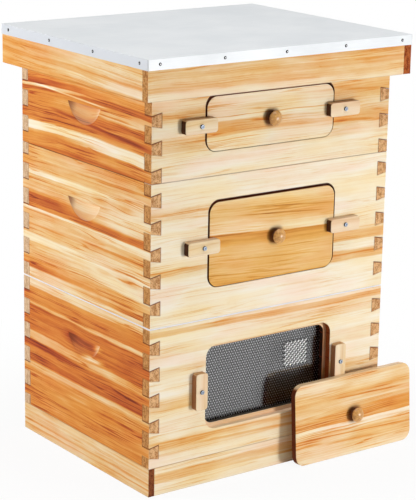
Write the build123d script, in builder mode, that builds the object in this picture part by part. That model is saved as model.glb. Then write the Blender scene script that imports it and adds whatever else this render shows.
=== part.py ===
from build123d import *
from collections import namedtuple
from math import asin, cos, radians, sin, sqrt
import os

# A stacked beehive, in millimetres: base, two deep boxes, one shallow box, inner cover and roof.
# X runs along the window side to the right, Y from the window side to the back, Z up.
# The origin is on the ground, under the middle of the boxes.

# Boxes and their boards
BOX_LENGTH = 505.0
BOX_WIDTH = 410.0
BOARD = 20.0
DEEP_HEIGHT = 246.0
SHALLOW_HEIGHT = 168.0
INNER_WIDTH = BOX_WIDTH - 2 * BOARD
INNER_LENGTH = BOX_LENGTH - 2 * BOARD

# Levels of the stack
BASE_HEIGHT = 50.0
EXCLUDER = 2.0
INNER_COVER_HEIGHT = 22.0
EXCLUDER_LEVEL = BASE_HEIGHT + DEEP_HEIGHT
MIDDLE_LEVEL = EXCLUDER_LEVEL + EXCLUDER
TOP_LEVEL = MIDDLE_LEVEL + DEEP_HEIGHT
INNER_COVER_LEVEL = TOP_LEVEL + SHALLOW_HEIGHT
ROOF_BOARD_LEVEL = INNER_COVER_LEVEL + INNER_COVER_HEIGHT

# Dovetails: pins are narrow at the corner, widen inward, and leave a fine joint line above them
PIN_WIDTH = 17.0
PIN_PITCH = 46.0
DOVETAIL_SLOPE = 1 / 5
PIN_GAP = 0.6
SHOULDER_GAP = 0.3

# Broken outer edges, where one box stands on the next, and the slack for picking them by position
SEAM_EDGE = 0.8
NEAR = 0.01

# Ledges that carry the frames, at the top of the left and right boards
REST_WIDTH = 10.0
REST_DEPTH = 16.0

# Half-moon hand-holds, cut with a ball whose top is sliced off
HAND_HOLD_WIDTH = 105.0
HAND_HOLD_HEIGHT = 35.0
HAND_HOLD_BALL = 115.0
HAND_HOLD_DROP = 69.0

# Windows: an outer recess for the cover, a ledge, and a smaller through opening
WINDOW_WIDTH = 273.0
DEEP_WINDOW_HEIGHT = 152.0
SHALLOW_WINDOW_HEIGHT = 97.0
WINDOW_RADIUS = 22.0
RECESS_DEPTH = 11.0
LEDGE = 7.0

# Window covers and their knobs; a closed cover sinks onto the recess's lower edge
COVER_GAP = 2.0
COVER_SINK = 1.4
COVER_SHIFT = 0.8
COVER_EDGE = 1.2
TENON_RADIUS = 5.0
TENON_DEPTH = 8.0
KNOB_FOOT_RADIUS = 8.0
KNOB_NECK_RADIUS = 6.0
KNOB_NECK_HEIGHT = 5.0
KNOB_UNDERSIDE = 9.0
KNOB_RADIUS = 13.0
KNOB_RIM_INSET = 1.0
KNOB_RIM_HEIGHT = 4.0
KNOB_HEIGHT = 19.0

# The loose cover stands on the ground and leans on a turn button
LOOSE_COVER_X = 175.0
LOOSE_COVER_TILT = 4.0
LOOSE_COVER_CLEARANCE = 0.5

# Turn buttons and their screws
BUTTON_LENGTH = 66.0
BUTTON_WIDTH = 25.0
BUTTON_THICKNESS = 12.0
BUTTON_RADIUS = 6.0
BUTTON_EDGE = 1.5
BUTTON_GAP = 0.4
BUTTON_OUTSET = 16.0
SCREW_RADIUS = 2.0
SCREW_RUNNING_GAP = 0.1
SCREW_BITE = 16.0
SCREW_HEAD_RADIUS = 3.8
SCREW_HEAD_HEIGHT = 2.4
SCREW_HEAD_GAP = 0.3
SCREW_HEAD_EDGE = 0.9
CROSS_LENGTH = 4.2
CROSS_WIDTH = 1.0
CROSS_DEPTH = 1.2

# Panes behind the windows; the one that shows has a patch of staggered vent holes
PANE = 3.0
PANE_MARGIN = 18.0
PANE_RADIUS = 5.0
PANE_SCREW_INSET = 6.0
PANE_SCREW_SPACING = 110.0
PANE_SCREW_RADIUS = 1.5
PANE_SCREW_BITE = 10.0
PANE_SCREW_HEAD_RADIUS = 3.0
PANE_SCREW_HEAD_HEIGHT = 1.5
VENT_RADIUS = 1.5
VENT_COLUMNS = 13
VENT_ROWS = 6
VENT_COLUMN_PITCH = 4.2
VENT_ROW_PITCH = 8.0
VENT_SHIFT = 75.0
VENT_RISE = 22.0

# Frames: ten in each box, hanging on their top bars
FRAME_COUNT = 10
FRAME_PITCH = 35.0
FRAME_LENGTH = 448.0
FRAME_TOP_GAP = 6.0
DEEP_FRAME_HEIGHT = 232.0
SHALLOW_FRAME_HEIGHT = 156.0
TOP_BAR_LENGTH = 482.0
TOP_BAR_WIDTH = 27.0
TOP_BAR_DEPTH = 19.0
LUG_DEPTH = REST_DEPTH - FRAME_TOP_GAP
SIDE_BAR = 9.5
SIDE_BAR_WIDTH = 34.6
SIDE_BAR_WAIST = 27.0
SIDE_BAR_SHOULDER = 70.0
SIDE_BAR_TAPER = 12.0
BOTTOM_BAR_WIDTH = 19.0
BOTTOM_BAR_DEPTH = 10.0
GLUE_LINE = 0.2
FOUNDATION = 2.0

# Queen excluder slots
SLOT_LENGTH = 66.0
SLOT_WIDTH = 4.2
SLOT_COLUMNS = 6
SLOT_ROWS = 42
SLOT_COLUMN_PITCH = 74.0
SLOT_ROW_PITCH = 8.4

# Inner cover
INNER_COVER_RAIL = 20.0
INNER_COVER_BOARD = 8.0
INNER_COVER_GROOVE = 6.0
GROOVE_LENGTH = BOX_LENGTH - 2 * (INNER_COVER_RAIL - INNER_COVER_GROOVE)
GROOVE_WIDTH = BOX_WIDTH - 2 * (INNER_COVER_RAIL - INNER_COVER_GROOVE)
GROOVE_LEVEL = INNER_COVER_LEVEL + (INNER_COVER_HEIGHT - INNER_COVER_BOARD) / 2
FEED_HOLE_LENGTH = 90.0
FEED_HOLE_WIDTH = 38.0

# Roof: rim boards that reach down over the top box, a board on top, and a metal cap
ROOF_GAP = 8.9
RIM = 16.0
RIM_BOTTOM = 685.0
ROOF_BOARD = 19.0
SHEET = 1.0
SKIRT_HEIGHT = 18.0
SKIRT_STANDOFF = 1.3
CAP_CORNER = 2.0
CAP_EDGE = 0.6
ROOF_INNER_X = BOX_LENGTH / 2 + ROOF_GAP
ROOF_INNER_Y = BOX_WIDTH / 2 + ROOF_GAP
RIM_X = ROOF_INNER_X + RIM
RIM_Y = ROOF_INNER_Y + RIM
CAP_X = RIM_X + SKIRT_STANDOFF
CAP_Y = RIM_Y + SKIRT_STANDOFF
RIM_TOP = ROOF_BOARD_LEVEL + ROOF_BOARD
CAP_TOP = RIM_TOP + SHEET
SKIRT_BOTTOM = CAP_TOP - SKIRT_HEIGHT

# Nails through the skirt into the rim
NAIL_RADIUS = 1.1
NAIL_BITE = 18.0
NAIL_HEAD_RADIUS = 2.8
NAIL_HEAD_HEIGHT = 1.0
NAIL_HEAD_EDGE = 0.4
NAIL_RISE = 9.5
FRONT_NAIL_COUNT = 5
FRONT_NAIL_PITCH = 127.5
SIDE_NAIL_COUNT = 4
SIDE_NAIL_PITCH = 138.0

# Base: rails with a grooved-in floor, open at the right end, where the floor becomes a landing
END_RAIL = 12.0
LANDING = 54.0
FLOOR = 14.0
FLOOR_LEVEL = 14.0
FLOOR_GROOVE = 8.0
FLOOR_PLANKS = 4
FLOOR_PLANK_GAP = 0.6
BATTEN_WIDTH = 40.0
BATTEN_LENGTH = 440.0
REDUCER_GAP = 0.2
REDUCER_SIDE_GAP = 1.0
REDUCER_TOP_GAP = 0.5
ENTRANCE_WIDTH = 100.0
ENTRANCE_HEIGHT = 9.5

# What the two sizes of box have, and how the three boxes of the stack differ
BoxSize = namedtuple("BoxSize", "height pins window_height frame_height")
DEEP = BoxSize(DEEP_HEIGHT, 5, DEEP_WINDOW_HEIGHT, DEEP_FRAME_HEIGHT)
SHALLOW = BoxSize(SHALLOW_HEIGHT, 4, SHALLOW_WINDOW_HEIGHT, SHALLOW_FRAME_HEIGHT)
OWN_FIELDS = ("name", "level", "first_pin", "window_x", "window_rise", "knob_x", "is_open")
HiveBox = namedtuple("HiveBox", (*OWN_FIELDS, *BoxSize._fields))
BOXES = [
    HiveBox("lower", BASE_HEIGHT, 28, 0, 0, 0, True, *DEEP),
    HiveBox("middle", MIDDLE_LEVEL, 33, 0, 5, 6, False, *DEEP),
    HiveBox("top", TOP_LEVEL, 12, -9, 5, 0, False, *SHALLOW),
]

# Faces of the front boards, both looking outward, towards minus Y
FRONT = Plane.XZ.offset(BOX_WIDTH / 2)
FRONT_INSIDE = Plane.XZ.offset(INNER_WIDTH / 2)


def save(piece, name):
    """Names a finished piece and writes it."""
    piece.part.label = name
    export_step(piece.part, f"parts/{name}.step")


def plank(low, high):
    """A plain board between its lowest and its highest corner."""
    middle = tuple((a + b) / 2 for a, b in zip(low, high))
    size = tuple(b - a for a, b in zip(low, high))
    with BuildPart() as piece:
        with Locations(middle):
            Box(*size)
    return piece


def pin_outlines(box, side, gap):
    """The pins at one corner of a box, seen from the front, lowered by a gap on their upper side."""
    corner = side * BOX_LENGTH / 2
    root = side * INNER_LENGTH / 2
    flare = BOARD * DOVETAIL_SLOPE
    outlines = []
    for index in range(box.pins):
        middle = box.level + box.first_pin + index * PIN_PITCH
        low = middle - PIN_WIDTH / 2
        high = middle + PIN_WIDTH / 2 - gap
        root_low = low - flare
        if root_low < box.level:
            low = root_low = box.level
        outlines.append([(corner, low), (corner, high), (root, high + flare), (root, root_low)])
    return outlines


def draw_tail_board(box):
    """Draws a full-length board with open dovetail sockets at both ends, in the current sketch."""
    with Locations((0, box.level + box.height / 2)):
        Rectangle(BOX_LENGTH, box.height)
    for side in (-1, 1):
        for outline in pin_outlines(box, side, 0):
            Polygon(*outline, mode=Mode.SUBTRACT)


def break_seam_edges(board, box):
    """Breaks a board's outer edges at the bottom and at the top of its box."""
    seam = ShapeList()
    for level in (box.level, box.level + box.height):
        edges = board.edges().filter_by_position(Axis.Z, level - NEAR, level + NEAR)
        for axis, outside in ((Axis.X, BOX_LENGTH / 2), (Axis.Y, BOX_WIDTH / 2)):
            for side in (-outside, outside):
                seam += edges.filter_by_position(axis, side - NEAR, side + NEAR)
    chamfer(seam, SEAM_EDGE)


def window_centre(box):
    """The middle of a box's window, in the plane of the front face."""
    return (box.window_x, box.level + box.height / 2 + box.window_rise)


def button_centres(box):
    """The screws of the left and the right turn button."""
    x, z = window_centre(box)
    reach = WINDOW_WIDTH / 2 + BUTTON_OUTSET
    return [(x - reach, z), (x + reach, z)]


def pane_screw_places(box):
    """Three screws above and three below the window."""
    x, z = window_centre(box)
    reach = box.window_height / 2 - LEDGE + PANE_MARGIN - PANE_SCREW_INSET
    columns = (-PANE_SCREW_SPACING, 0, PANE_SCREW_SPACING)
    return [(x + column, z + row) for column in columns for row in (-reach, reach)]


def vent_places(box):
    """Staggered vent holes in the right half of a pane."""
    x, z = window_centre(box)
    patch_height = (VENT_ROWS - 0.5) * VENT_ROW_PITCH
    places = []
    for column in range(VENT_COLUMNS):
        across = (column - (VENT_COLUMNS - 1) / 2) * VENT_COLUMN_PITCH
        stagger = VENT_ROW_PITCH / 2 * (column % 2)
        for row in range(VENT_ROWS):
            up = row * VENT_ROW_PITCH + stagger - patch_height / 2
            places.append((x + VENT_SHIFT + across, z + VENT_RISE + up))
    return places


def front_board(box):
    """Window board: dovetailed, with the stepped window opening and the screw holes."""
    with BuildPart() as board:
        with BuildSketch(FRONT_INSIDE):
            draw_tail_board(box)
        extrude(amount=BOARD)
        break_seam_edges(board, box)
        with BuildSketch(FRONT):
            with Locations(window_centre(box)):
                RectangleRounded(WINDOW_WIDTH, box.window_height, WINDOW_RADIUS)
        extrude(amount=-RECESS_DEPTH, mode=Mode.SUBTRACT)
        with BuildSketch(FRONT):
            with Locations(window_centre(box)):
                RectangleRounded(
                    WINDOW_WIDTH - 2 * LEDGE, box.window_height - 2 * LEDGE, WINDOW_RADIUS - LEDGE
                )
        extrude(amount=-BOARD, mode=Mode.SUBTRACT)
        with BuildSketch(FRONT):
            with Locations(*button_centres(box)):
                Circle(SCREW_RADIUS)
        extrude(amount=-SCREW_BITE, mode=Mode.SUBTRACT)
        with BuildSketch(FRONT_INSIDE):
            with Locations(*pane_screw_places(box)):
                Circle(PANE_SCREW_RADIUS)
        extrude(amount=PANE_SCREW_BITE, mode=Mode.SUBTRACT)
    return board


def back_board(box):
    """Plain dovetailed board at the back."""
    with BuildPart() as board:
        with BuildSketch(Plane.XZ.offset(-BOX_WIDTH / 2)):
            draw_tail_board(box)
        extrude(amount=BOARD)
        break_seam_edges(board, box)
    return board


def hand_hold(box, side):
    """The ball-shaped cut of a hand-hold: deepest under its straight top edge."""
    half_width = HAND_HOLD_WIDTH / 2
    arc_radius = (HAND_HOLD_HEIGHT**2 + half_width**2) / (2 * HAND_HOLD_HEIGHT)
    top_edge = box.level + box.height - HAND_HOLD_DROP
    ball_x = side * (BOX_LENGTH / 2 + sqrt(HAND_HOLD_BALL**2 - arc_radius**2))
    ball_z = top_edge + arc_radius - HAND_HOLD_HEIGHT
    with BuildPart() as scoop:
        with Locations((ball_x, 0, ball_z)):
            Sphere(HAND_HOLD_BALL)
        split(bisect_by=Plane.XY.offset(top_edge), keep=Keep.BOTTOM)
    return scoop


def side_board(box, side):
    """Left or right board: pins at both ends, a ledge for the frames, and a hand-hold."""
    middle_z = box.level + box.height / 2
    top = box.level + box.height
    shoulder = INNER_WIDTH / 2 - SHOULDER_GAP
    with BuildPart() as board:
        with BuildSketch(Plane.XZ.offset(-shoulder)):
            with Locations((side * (BOX_LENGTH - BOARD) / 2, middle_z)):
                Rectangle(BOARD, box.height)
        extrude(amount=2 * shoulder)
        with BuildSketch(Plane.XZ.offset(-BOX_WIDTH / 2)):
            for outline in pin_outlines(box, side, PIN_GAP):
                Polygon(*outline)
        extrude(amount=BOX_WIDTH)
        break_seam_edges(board, box)
        with BuildSketch(Plane.XZ.offset(-INNER_WIDTH / 2)):
            with Locations((side * (INNER_LENGTH + REST_WIDTH) / 2, top - REST_DEPTH / 2)):
                Rectangle(REST_WIDTH, REST_DEPTH)
        extrude(amount=INNER_WIDTH, mode=Mode.SUBTRACT)
        add(hand_hold(box, side).part, mode=Mode.SUBTRACT)
    return board


def pane(box):
    """Clear pane on the inner face of a front board, with vents if it is open to view."""
    width = WINDOW_WIDTH - 2 * LEDGE + 2 * PANE_MARGIN
    height = box.window_height - 2 * LEDGE + 2 * PANE_MARGIN
    with BuildPart() as sheet:
        with BuildSketch(FRONT_INSIDE):
            with Locations(window_centre(box)):
                RectangleRounded(width, height, PANE_RADIUS)
            with Locations(*pane_screw_places(box)):
                Circle(PANE_SCREW_RADIUS, mode=Mode.SUBTRACT)
            if box.is_open:
                with Locations(*vent_places(box)):
                    Circle(VENT_RADIUS, mode=Mode.SUBTRACT)
        extrude(amount=-PANE)
    return sheet


def pane_screws(box):
    """Small screws that hold a pane from the inside."""
    with BuildPart() as screws:
        with BuildSketch(FRONT_INSIDE.offset(-PANE)):
            with Locations(*pane_screw_places(box)):
                Circle(PANE_SCREW_HEAD_RADIUS)
        extrude(amount=-PANE_SCREW_HEAD_HEIGHT)
        with BuildSketch(FRONT_INSIDE.offset(-PANE)):
            with Locations(*pane_screw_places(box)):
                Circle(PANE_SCREW_RADIUS)
        extrude(amount=PANE + PANE_SCREW_BITE)
    return screws


def knob_face(face, box):
    """A cover's outer face, moved along to where the knob stands."""
    return Plane(origin=face.origin + box.knob_x * face.x_dir, x_dir=face.x_dir, z_dir=face.z_dir)


def window_cover(face, box):
    """A cover board whose outer face lies in the given plane, with a hole for the knob."""
    width = WINDOW_WIDTH - 2 * COVER_GAP
    height = box.window_height - 2 * COVER_GAP
    with BuildPart() as cover:
        with BuildSketch(face):
            RectangleRounded(width, height, WINDOW_RADIUS - COVER_GAP)
        extrude(amount=-RECESS_DEPTH)
        outer = cover.faces().sort_by(Axis(face.origin, face.z_dir))[-1]
        fillet(outer.edges(), COVER_EDGE)
        with BuildSketch(knob_face(face, box)):
            Circle(TENON_RADIUS)
        extrude(amount=-TENON_DEPTH, mode=Mode.SUBTRACT)
    return cover


def cover_knob(face):
    """A turned knob with a waisted neck and a domed head, on the middle of its face."""
    underside_radius = KNOB_RADIUS - KNOB_RIM_INSET
    rim_top = KNOB_UNDERSIDE + KNOB_RIM_HEIGHT
    dome_rise = KNOB_HEIGHT - rim_top
    dome_radius = (underside_radius**2 + dome_rise**2) / (2 * dome_rise)
    half_angle = asin(underside_radius / dome_radius) / 2
    dome_middle = (dome_radius * sin(half_angle), KNOB_HEIGHT - dome_radius * (1 - cos(half_angle)))
    profile = Plane(origin=face.origin, x_dir=face.x_dir, z_dir=-face.y_dir)
    with BuildPart() as knob:
        with BuildSketch(profile):
            with BuildLine():
                Polyline(
                    (0, KNOB_HEIGHT), (0, -TENON_DEPTH), (TENON_RADIUS, -TENON_DEPTH),
                    (TENON_RADIUS, 0), (KNOB_FOOT_RADIUS, 0),
                )
                ThreePointArc(
                    (KNOB_FOOT_RADIUS, 0),
                    (KNOB_NECK_RADIUS, KNOB_NECK_HEIGHT),
                    (underside_radius, KNOB_UNDERSIDE),
                )
                ThreePointArc(
                    (underside_radius, KNOB_UNDERSIDE),
                    (KNOB_RADIUS, KNOB_UNDERSIDE + KNOB_RIM_HEIGHT / 2),
                    (underside_radius, rim_top),
                )
                ThreePointArc((underside_radius, rim_top), dome_middle, (0, KNOB_HEIGHT))
            make_face()
        revolve(axis=Axis(face.origin, face.z_dir))
    return knob


def closed_cover_face(box):
    """The outer face of a cover that sits in its window, flush with the board."""
    x, z = window_centre(box)
    middle = (x + COVER_SHIFT, -BOX_WIDTH / 2, z - COVER_SINK)
    return Plane(origin=middle, x_dir=(1, 0, 0), z_dir=(0, -1, 0))


def loose_cover_face(box):
    """The outer face of the cover that stands on the ground and leans back on a turn button."""
    tilt = radians(LOOSE_COVER_TILT)
    half_height = box.window_height / 2 - COVER_GAP
    back_top_y = -BOX_WIDTH / 2 - BUTTON_GAP - BUTTON_THICKNESS - LOOSE_COVER_CLEARANCE
    middle_y = back_top_y - half_height * sin(tilt) - RECESS_DEPTH * cos(tilt)
    middle_z = half_height * cos(tilt) + RECESS_DEPTH * sin(tilt)
    return Plane(
        origin=(LOOSE_COVER_X, middle_y, middle_z), x_dir=(1, 0, 0), z_dir=(0, -cos(tilt), sin(tilt))
    )


def turn_button(box, centre):
    """A rounded wooden bar that turns on its screw in front of the window's edge."""
    turn = 90 if box.is_open else 0
    with BuildPart() as button:
        with BuildSketch(FRONT.offset(BUTTON_GAP)):
            with Locations(centre):
                RectangleRounded(BUTTON_LENGTH, BUTTON_WIDTH, BUTTON_RADIUS, rotation=turn)
                Circle(SCREW_RADIUS + SCREW_RUNNING_GAP, mode=Mode.SUBTRACT)
        extrude(amount=BUTTON_THICKNESS)
        outer = button.faces().sort_by(Axis.Y)[0]
        fillet(outer.outer_wire().edges(), BUTTON_EDGE)
    return button


def button_screws(box):
    """Two cross-head screws, the pivots of a box's turn buttons."""
    seat = BUTTON_GAP + BUTTON_THICKNESS + SCREW_HEAD_GAP
    with BuildPart() as screws:
        with BuildSketch(FRONT.offset(seat)):
            with Locations(*button_centres(box)):
                Circle(SCREW_HEAD_RADIUS)
        extrude(amount=SCREW_HEAD_HEIGHT)
        fillet(screws.faces().sort_by(Axis.Y)[:2].edges(), SCREW_HEAD_EDGE)
        with BuildSketch(FRONT.offset(seat + SCREW_HEAD_HEIGHT)):
            with Locations(*button_centres(box)):
                Rectangle(CROSS_LENGTH, CROSS_WIDTH)
                Rectangle(CROSS_WIDTH, CROSS_LENGTH)
        extrude(amount=-CROSS_DEPTH, mode=Mode.SUBTRACT)
        with BuildSketch(FRONT.offset(-SCREW_BITE)):
            with Locations(*button_centres(box)):
                Circle(SCREW_RADIUS)
        extrude(amount=SCREW_BITE + seat)
    return screws


def frame_places():
    """The Y positions of the frames in a box."""
    return [(index - (FRAME_COUNT - 1) / 2) * FRAME_PITCH for index in range(FRAME_COUNT)]


def frame_top_bars(box):
    """Top bars with thinner lugs that rest on the ledges."""
    top = box.level + box.height - FRAME_TOP_GAP
    end = TOP_BAR_LENGTH / 2
    shoulder = FRAME_LENGTH / 2
    lug_bottom = top - LUG_DEPTH
    bottom = top - TOP_BAR_DEPTH
    outline = [
        (-end, top), (-end, lug_bottom), (-shoulder, lug_bottom), (-shoulder, bottom),
        (shoulder, bottom), (shoulder, lug_bottom), (end, lug_bottom), (end, top),
    ]
    with BuildPart() as bars:
        for y in frame_places():
            with BuildSketch(Plane.XZ.offset(-y - TOP_BAR_WIDTH / 2)):
                Polygon(*outline)
            extrude(amount=TOP_BAR_WIDTH)
    return bars


def frame_side_and_bottom_bars(box):
    """Side bars with wide spacing shoulders, and the bottom bars between them."""
    top = box.level + box.height - FRAME_TOP_GAP - TOP_BAR_DEPTH
    bottom = box.level + box.height - FRAME_TOP_GAP - box.frame_height
    wide = SIDE_BAR_WIDTH / 2
    waist = SIDE_BAR_WAIST / 2
    shoulder = top - SIDE_BAR_SHOULDER
    taper = shoulder - SIDE_BAR_TAPER
    outline = [
        (-wide, top), (-wide, shoulder), (-waist, taper), (-waist, bottom),
        (waist, bottom), (waist, taper), (wide, shoulder), (wide, top),
    ]
    bottom_bar_length = FRAME_LENGTH - 2 * (SIDE_BAR + GLUE_LINE)
    with BuildPart() as bars:
        for start in (-FRAME_LENGTH / 2, FRAME_LENGTH / 2 - SIDE_BAR):
            with BuildSketch(Plane.YZ.offset(start)):
                with Locations(*[(y, 0) for y in frame_places()]):
                    Polygon(*outline)
            extrude(amount=SIDE_BAR)
        with Locations(*[(0, y, bottom + BOTTOM_BAR_DEPTH / 2) for y in frame_places()]):
            Box(bottom_bar_length, BOTTOM_BAR_WIDTH, BOTTOM_BAR_DEPTH)
    return bars


def foundations(box):
    """Foundation sheets, one in each frame, between the bars."""
    top = box.level + box.height - FRAME_TOP_GAP - TOP_BAR_DEPTH
    bottom = box.level + box.height - FRAME_TOP_GAP - box.frame_height + BOTTOM_BAR_DEPTH
    with BuildPart() as sheets:
        with Locations(*[(0, y, (top + bottom) / 2) for y in frame_places()]):
            Box(FRAME_LENGTH - 2 * SIDE_BAR, FOUNDATION, top - bottom)
    return sheets


def queen_excluder():
    """A thin slotted sheet as large as the box."""
    with BuildPart() as sheet:
        with BuildSketch(Plane.XY.offset(EXCLUDER_LEVEL)):
            Rectangle(BOX_LENGTH, BOX_WIDTH)
            with GridLocations(SLOT_COLUMN_PITCH, SLOT_ROW_PITCH, SLOT_COLUMNS, SLOT_ROWS):
                Rectangle(SLOT_LENGTH, SLOT_WIDTH, mode=Mode.SUBTRACT)
        extrude(amount=EXCLUDER)
    return sheet


def inner_cover_rails():
    """Four rails round the inner cover, grooved on the inside for its board."""
    inner_x = BOX_LENGTH / 2 - INNER_COVER_RAIL
    inner_y = BOX_WIDTH / 2 - INNER_COVER_RAIL
    with BuildPart() as rails:
        with BuildSketch(Plane.XY.offset(INNER_COVER_LEVEL)):
            Rectangle(BOX_LENGTH, BOX_WIDTH)
            Rectangle(2 * inner_x, 2 * inner_y, mode=Mode.SUBTRACT)
        extrude(amount=INNER_COVER_HEIGHT)
        with BuildSketch(Plane.XY.offset(GROOVE_LEVEL)):
            Rectangle(GROOVE_LENGTH, GROOVE_WIDTH)
        extrude(amount=INNER_COVER_BOARD, mode=Mode.SUBTRACT)
        split(bisect_by=Plane.XZ.offset(inner_y), keep=Keep.BOTH)
        split(bisect_by=Plane.XZ.offset(-inner_y), keep=Keep.BOTH)
    return rails


def inner_cover_board():
    """Thin board in the rails' groove, with an oval feed hole."""
    with BuildPart() as board:
        with BuildSketch(Plane.XY.offset(GROOVE_LEVEL)):
            Rectangle(GROOVE_LENGTH, GROOVE_WIDTH)
            SlotOverall(FEED_HOLE_LENGTH, FEED_HOLE_WIDTH, mode=Mode.SUBTRACT)
        extrude(amount=INNER_COVER_BOARD)
    return board


def nail_spread(count, pitch):
    """Nail positions along one side, evenly spread about the middle."""
    return [(index - (count - 1) / 2) * pitch for index in range(count)]


def nail_planes():
    """For each roof side: the skirt's outward plane and the nail points in it."""
    level = SKIRT_BOTTOM + NAIL_RISE
    long_places = [(x, level) for x in nail_spread(FRONT_NAIL_COUNT, FRONT_NAIL_PITCH)]
    short_places = [(y, level) for y in nail_spread(SIDE_NAIL_COUNT, SIDE_NAIL_PITCH)]
    return [
        (Plane(origin=(0, -CAP_Y, 0), x_dir=(1, 0, 0), z_dir=(0, -1, 0)), long_places),
        (Plane(origin=(0, CAP_Y, 0), x_dir=(-1, 0, 0), z_dir=(0, 1, 0)), long_places),
        (Plane(origin=(-CAP_X, 0, 0), x_dir=(0, -1, 0), z_dir=(-1, 0, 0)), short_places),
        (Plane(origin=(CAP_X, 0, 0), x_dir=(0, 1, 0), z_dir=(1, 0, 0)), short_places),
    ]


def drill_nail_holes():
    """Cuts the nail holes of all four sides into the current part."""
    for plane, places in nail_planes():
        with BuildSketch(plane) as holes:
            with Locations(*places):
                Circle(NAIL_RADIUS)
        extrude(holes.sketch, amount=-SKIRT_STANDOFF - NAIL_BITE, mode=Mode.SUBTRACT)


def roof_wood(low, high):
    """A roof board with the nail holes that reach it."""
    with BuildPart() as piece:
        add(plank(low, high).part)
        drill_nail_holes()
    return piece


def roof_nails():
    """Round-headed nails along the skirt on all four sides."""
    with BuildPart() as nails:
        for plane, places in nail_planes():
            with BuildSketch(plane):
                with Locations(*places):
                    Circle(NAIL_HEAD_RADIUS)
            extrude(amount=NAIL_HEAD_HEIGHT)
        for axis, count in ((Axis.Y, FRONT_NAIL_COUNT), (Axis.X, SIDE_NAIL_COUNT)):
            ends = nails.faces().sort_by(axis)
            fillet((ends[:count] + ends[-count:]).edges(), NAIL_HEAD_EDGE)
        for plane, places in nail_planes():
            with BuildSketch(plane):
                with Locations(*places):
                    Circle(NAIL_RADIUS)
            extrude(amount=-SKIRT_STANDOFF - NAIL_BITE)
    return nails


def roof_metal_cap():
    """Folded sheet metal: a flat top and a skirt down over the rim boards."""
    with BuildPart() as cap:
        with BuildSketch(Plane.XY.offset(SKIRT_BOTTOM)):
            RectangleRounded(2 * CAP_X, 2 * CAP_Y, CAP_CORNER)
        extrude(amount=SKIRT_HEIGHT)
        fillet(cap.faces().sort_by(Axis.Z)[-1].edges(), CAP_EDGE)
        with BuildSketch(Plane.XY.offset(SKIRT_BOTTOM)):
            Rectangle(2 * (CAP_X - SHEET), 2 * (CAP_Y - SHEET))
        extrude(amount=SKIRT_HEIGHT - SHEET, mode=Mode.SUBTRACT)
        drill_nail_holes()
    return cap


def base_rail(side):
    """Front or back rail of the base, grooved on the inside for the floor."""
    low_x = -BOX_LENGTH / 2 + END_RAIL
    length = BOX_LENGTH / 2 + LANDING - low_x
    with BuildPart() as rail:
        with BuildSketch(Plane.YZ.offset(low_x)):
            with Locations((side * (BOX_WIDTH - BOARD) / 2, BASE_HEIGHT / 2)):
                Rectangle(BOARD, BASE_HEIGHT)
            with Locations((side * (INNER_WIDTH + FLOOR_GROOVE) / 2, FLOOR_LEVEL + FLOOR / 2)):
                Rectangle(FLOOR_GROOVE, FLOOR, mode=Mode.SUBTRACT)
        extrude(amount=length)
    return rail


def base_floor_planks():
    """Floor planks laid side by side, their ends in the rails' grooves."""
    low_x = -BOX_LENGTH / 2 + END_RAIL
    pitch = (BOX_LENGTH / 2 + LANDING - low_x) / FLOOR_PLANKS
    middles = [low_x + (index + 0.5) * pitch for index in range(FLOOR_PLANKS)]
    with BuildPart() as planks:
        with Locations(*[(x, 0, FLOOR_LEVEL + FLOOR / 2) for x in middles]):
            Box(pitch - FLOOR_PLANK_GAP, INNER_WIDTH + 2 * FLOOR_GROOVE, FLOOR)
    return planks


def entrance_reducer():
    """A strip that closes the entrance but for one low notch."""
    floor_top = FLOOR_LEVEL + FLOOR
    bottom = floor_top + REDUCER_GAP
    height = BASE_HEIGHT - REDUCER_TOP_GAP - bottom
    with BuildPart() as strip:
        with BuildSketch(Plane.YZ.offset(INNER_LENGTH / 2)):
            with Locations((0, bottom + height / 2)):
                Rectangle(INNER_WIDTH - 2 * REDUCER_SIDE_GAP, height)
            with Locations((0, floor_top + ENTRANCE_HEIGHT / 2)):
                Rectangle(ENTRANCE_WIDTH, ENTRANCE_HEIGHT, mode=Mode.SUBTRACT)
        extrude(amount=BOARD)
    return strip


os.makedirs("parts", exist_ok=True)

# Base
save(base_rail(-1), "base_front_rail")
save(base_rail(1), "base_back_rail")
left_end = -BOX_LENGTH / 2
front = -BOX_WIDTH / 2
save(plank((left_end, front, 0), (left_end + END_RAIL, -front, BASE_HEIGHT)), "base_left_rail")
save(base_floor_planks(), "base_floor_planks")
batten_x = BATTEN_LENGTH / 2
batten_y = BATTEN_WIDTH / 2
save(plank((-batten_x, -batten_y, 0), (batten_x, batten_y, FLOOR_LEVEL)), "base_centre_batten")
save(entrance_reducer(), "entrance_reducer")

# Boxes with their windows and frames
for box in BOXES:
    save(front_board(box), f"{box.name}_front_board")
    save(back_board(box), f"{box.name}_back_board")
    save(side_board(box, -1), f"{box.name}_left_board")
    save(side_board(box, 1), f"{box.name}_right_board")
    save(pane(box), f"{box.name}_pane")
    save(pane_screws(box), f"{box.name}_pane_screws")
    left, right = button_centres(box)
    save(turn_button(box, left), f"{box.name}_left_button")
    save(turn_button(box, right), f"{box.name}_right_button")
    save(button_screws(box), f"{box.name}_button_screws")
    cover_face = loose_cover_face(box) if box.is_open else closed_cover_face(box)
    save(window_cover(cover_face, box), f"{box.name}_window_cover")
    save(cover_knob(knob_face(cover_face, box)), f"{box.name}_cover_knob")
    save(frame_top_bars(box), f"{box.name}_frame_top_bars")
    save(frame_side_and_bottom_bars(box), f"{box.name}_frame_side_and_bottom_bars")
    save(foundations(box), f"{box.name}_foundations")

# Between and above the boxes
save(queen_excluder(), "queen_excluder")
save(inner_cover_rails(), "inner_cover_rails")
save(inner_cover_board(), "inner_cover_board")

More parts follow.
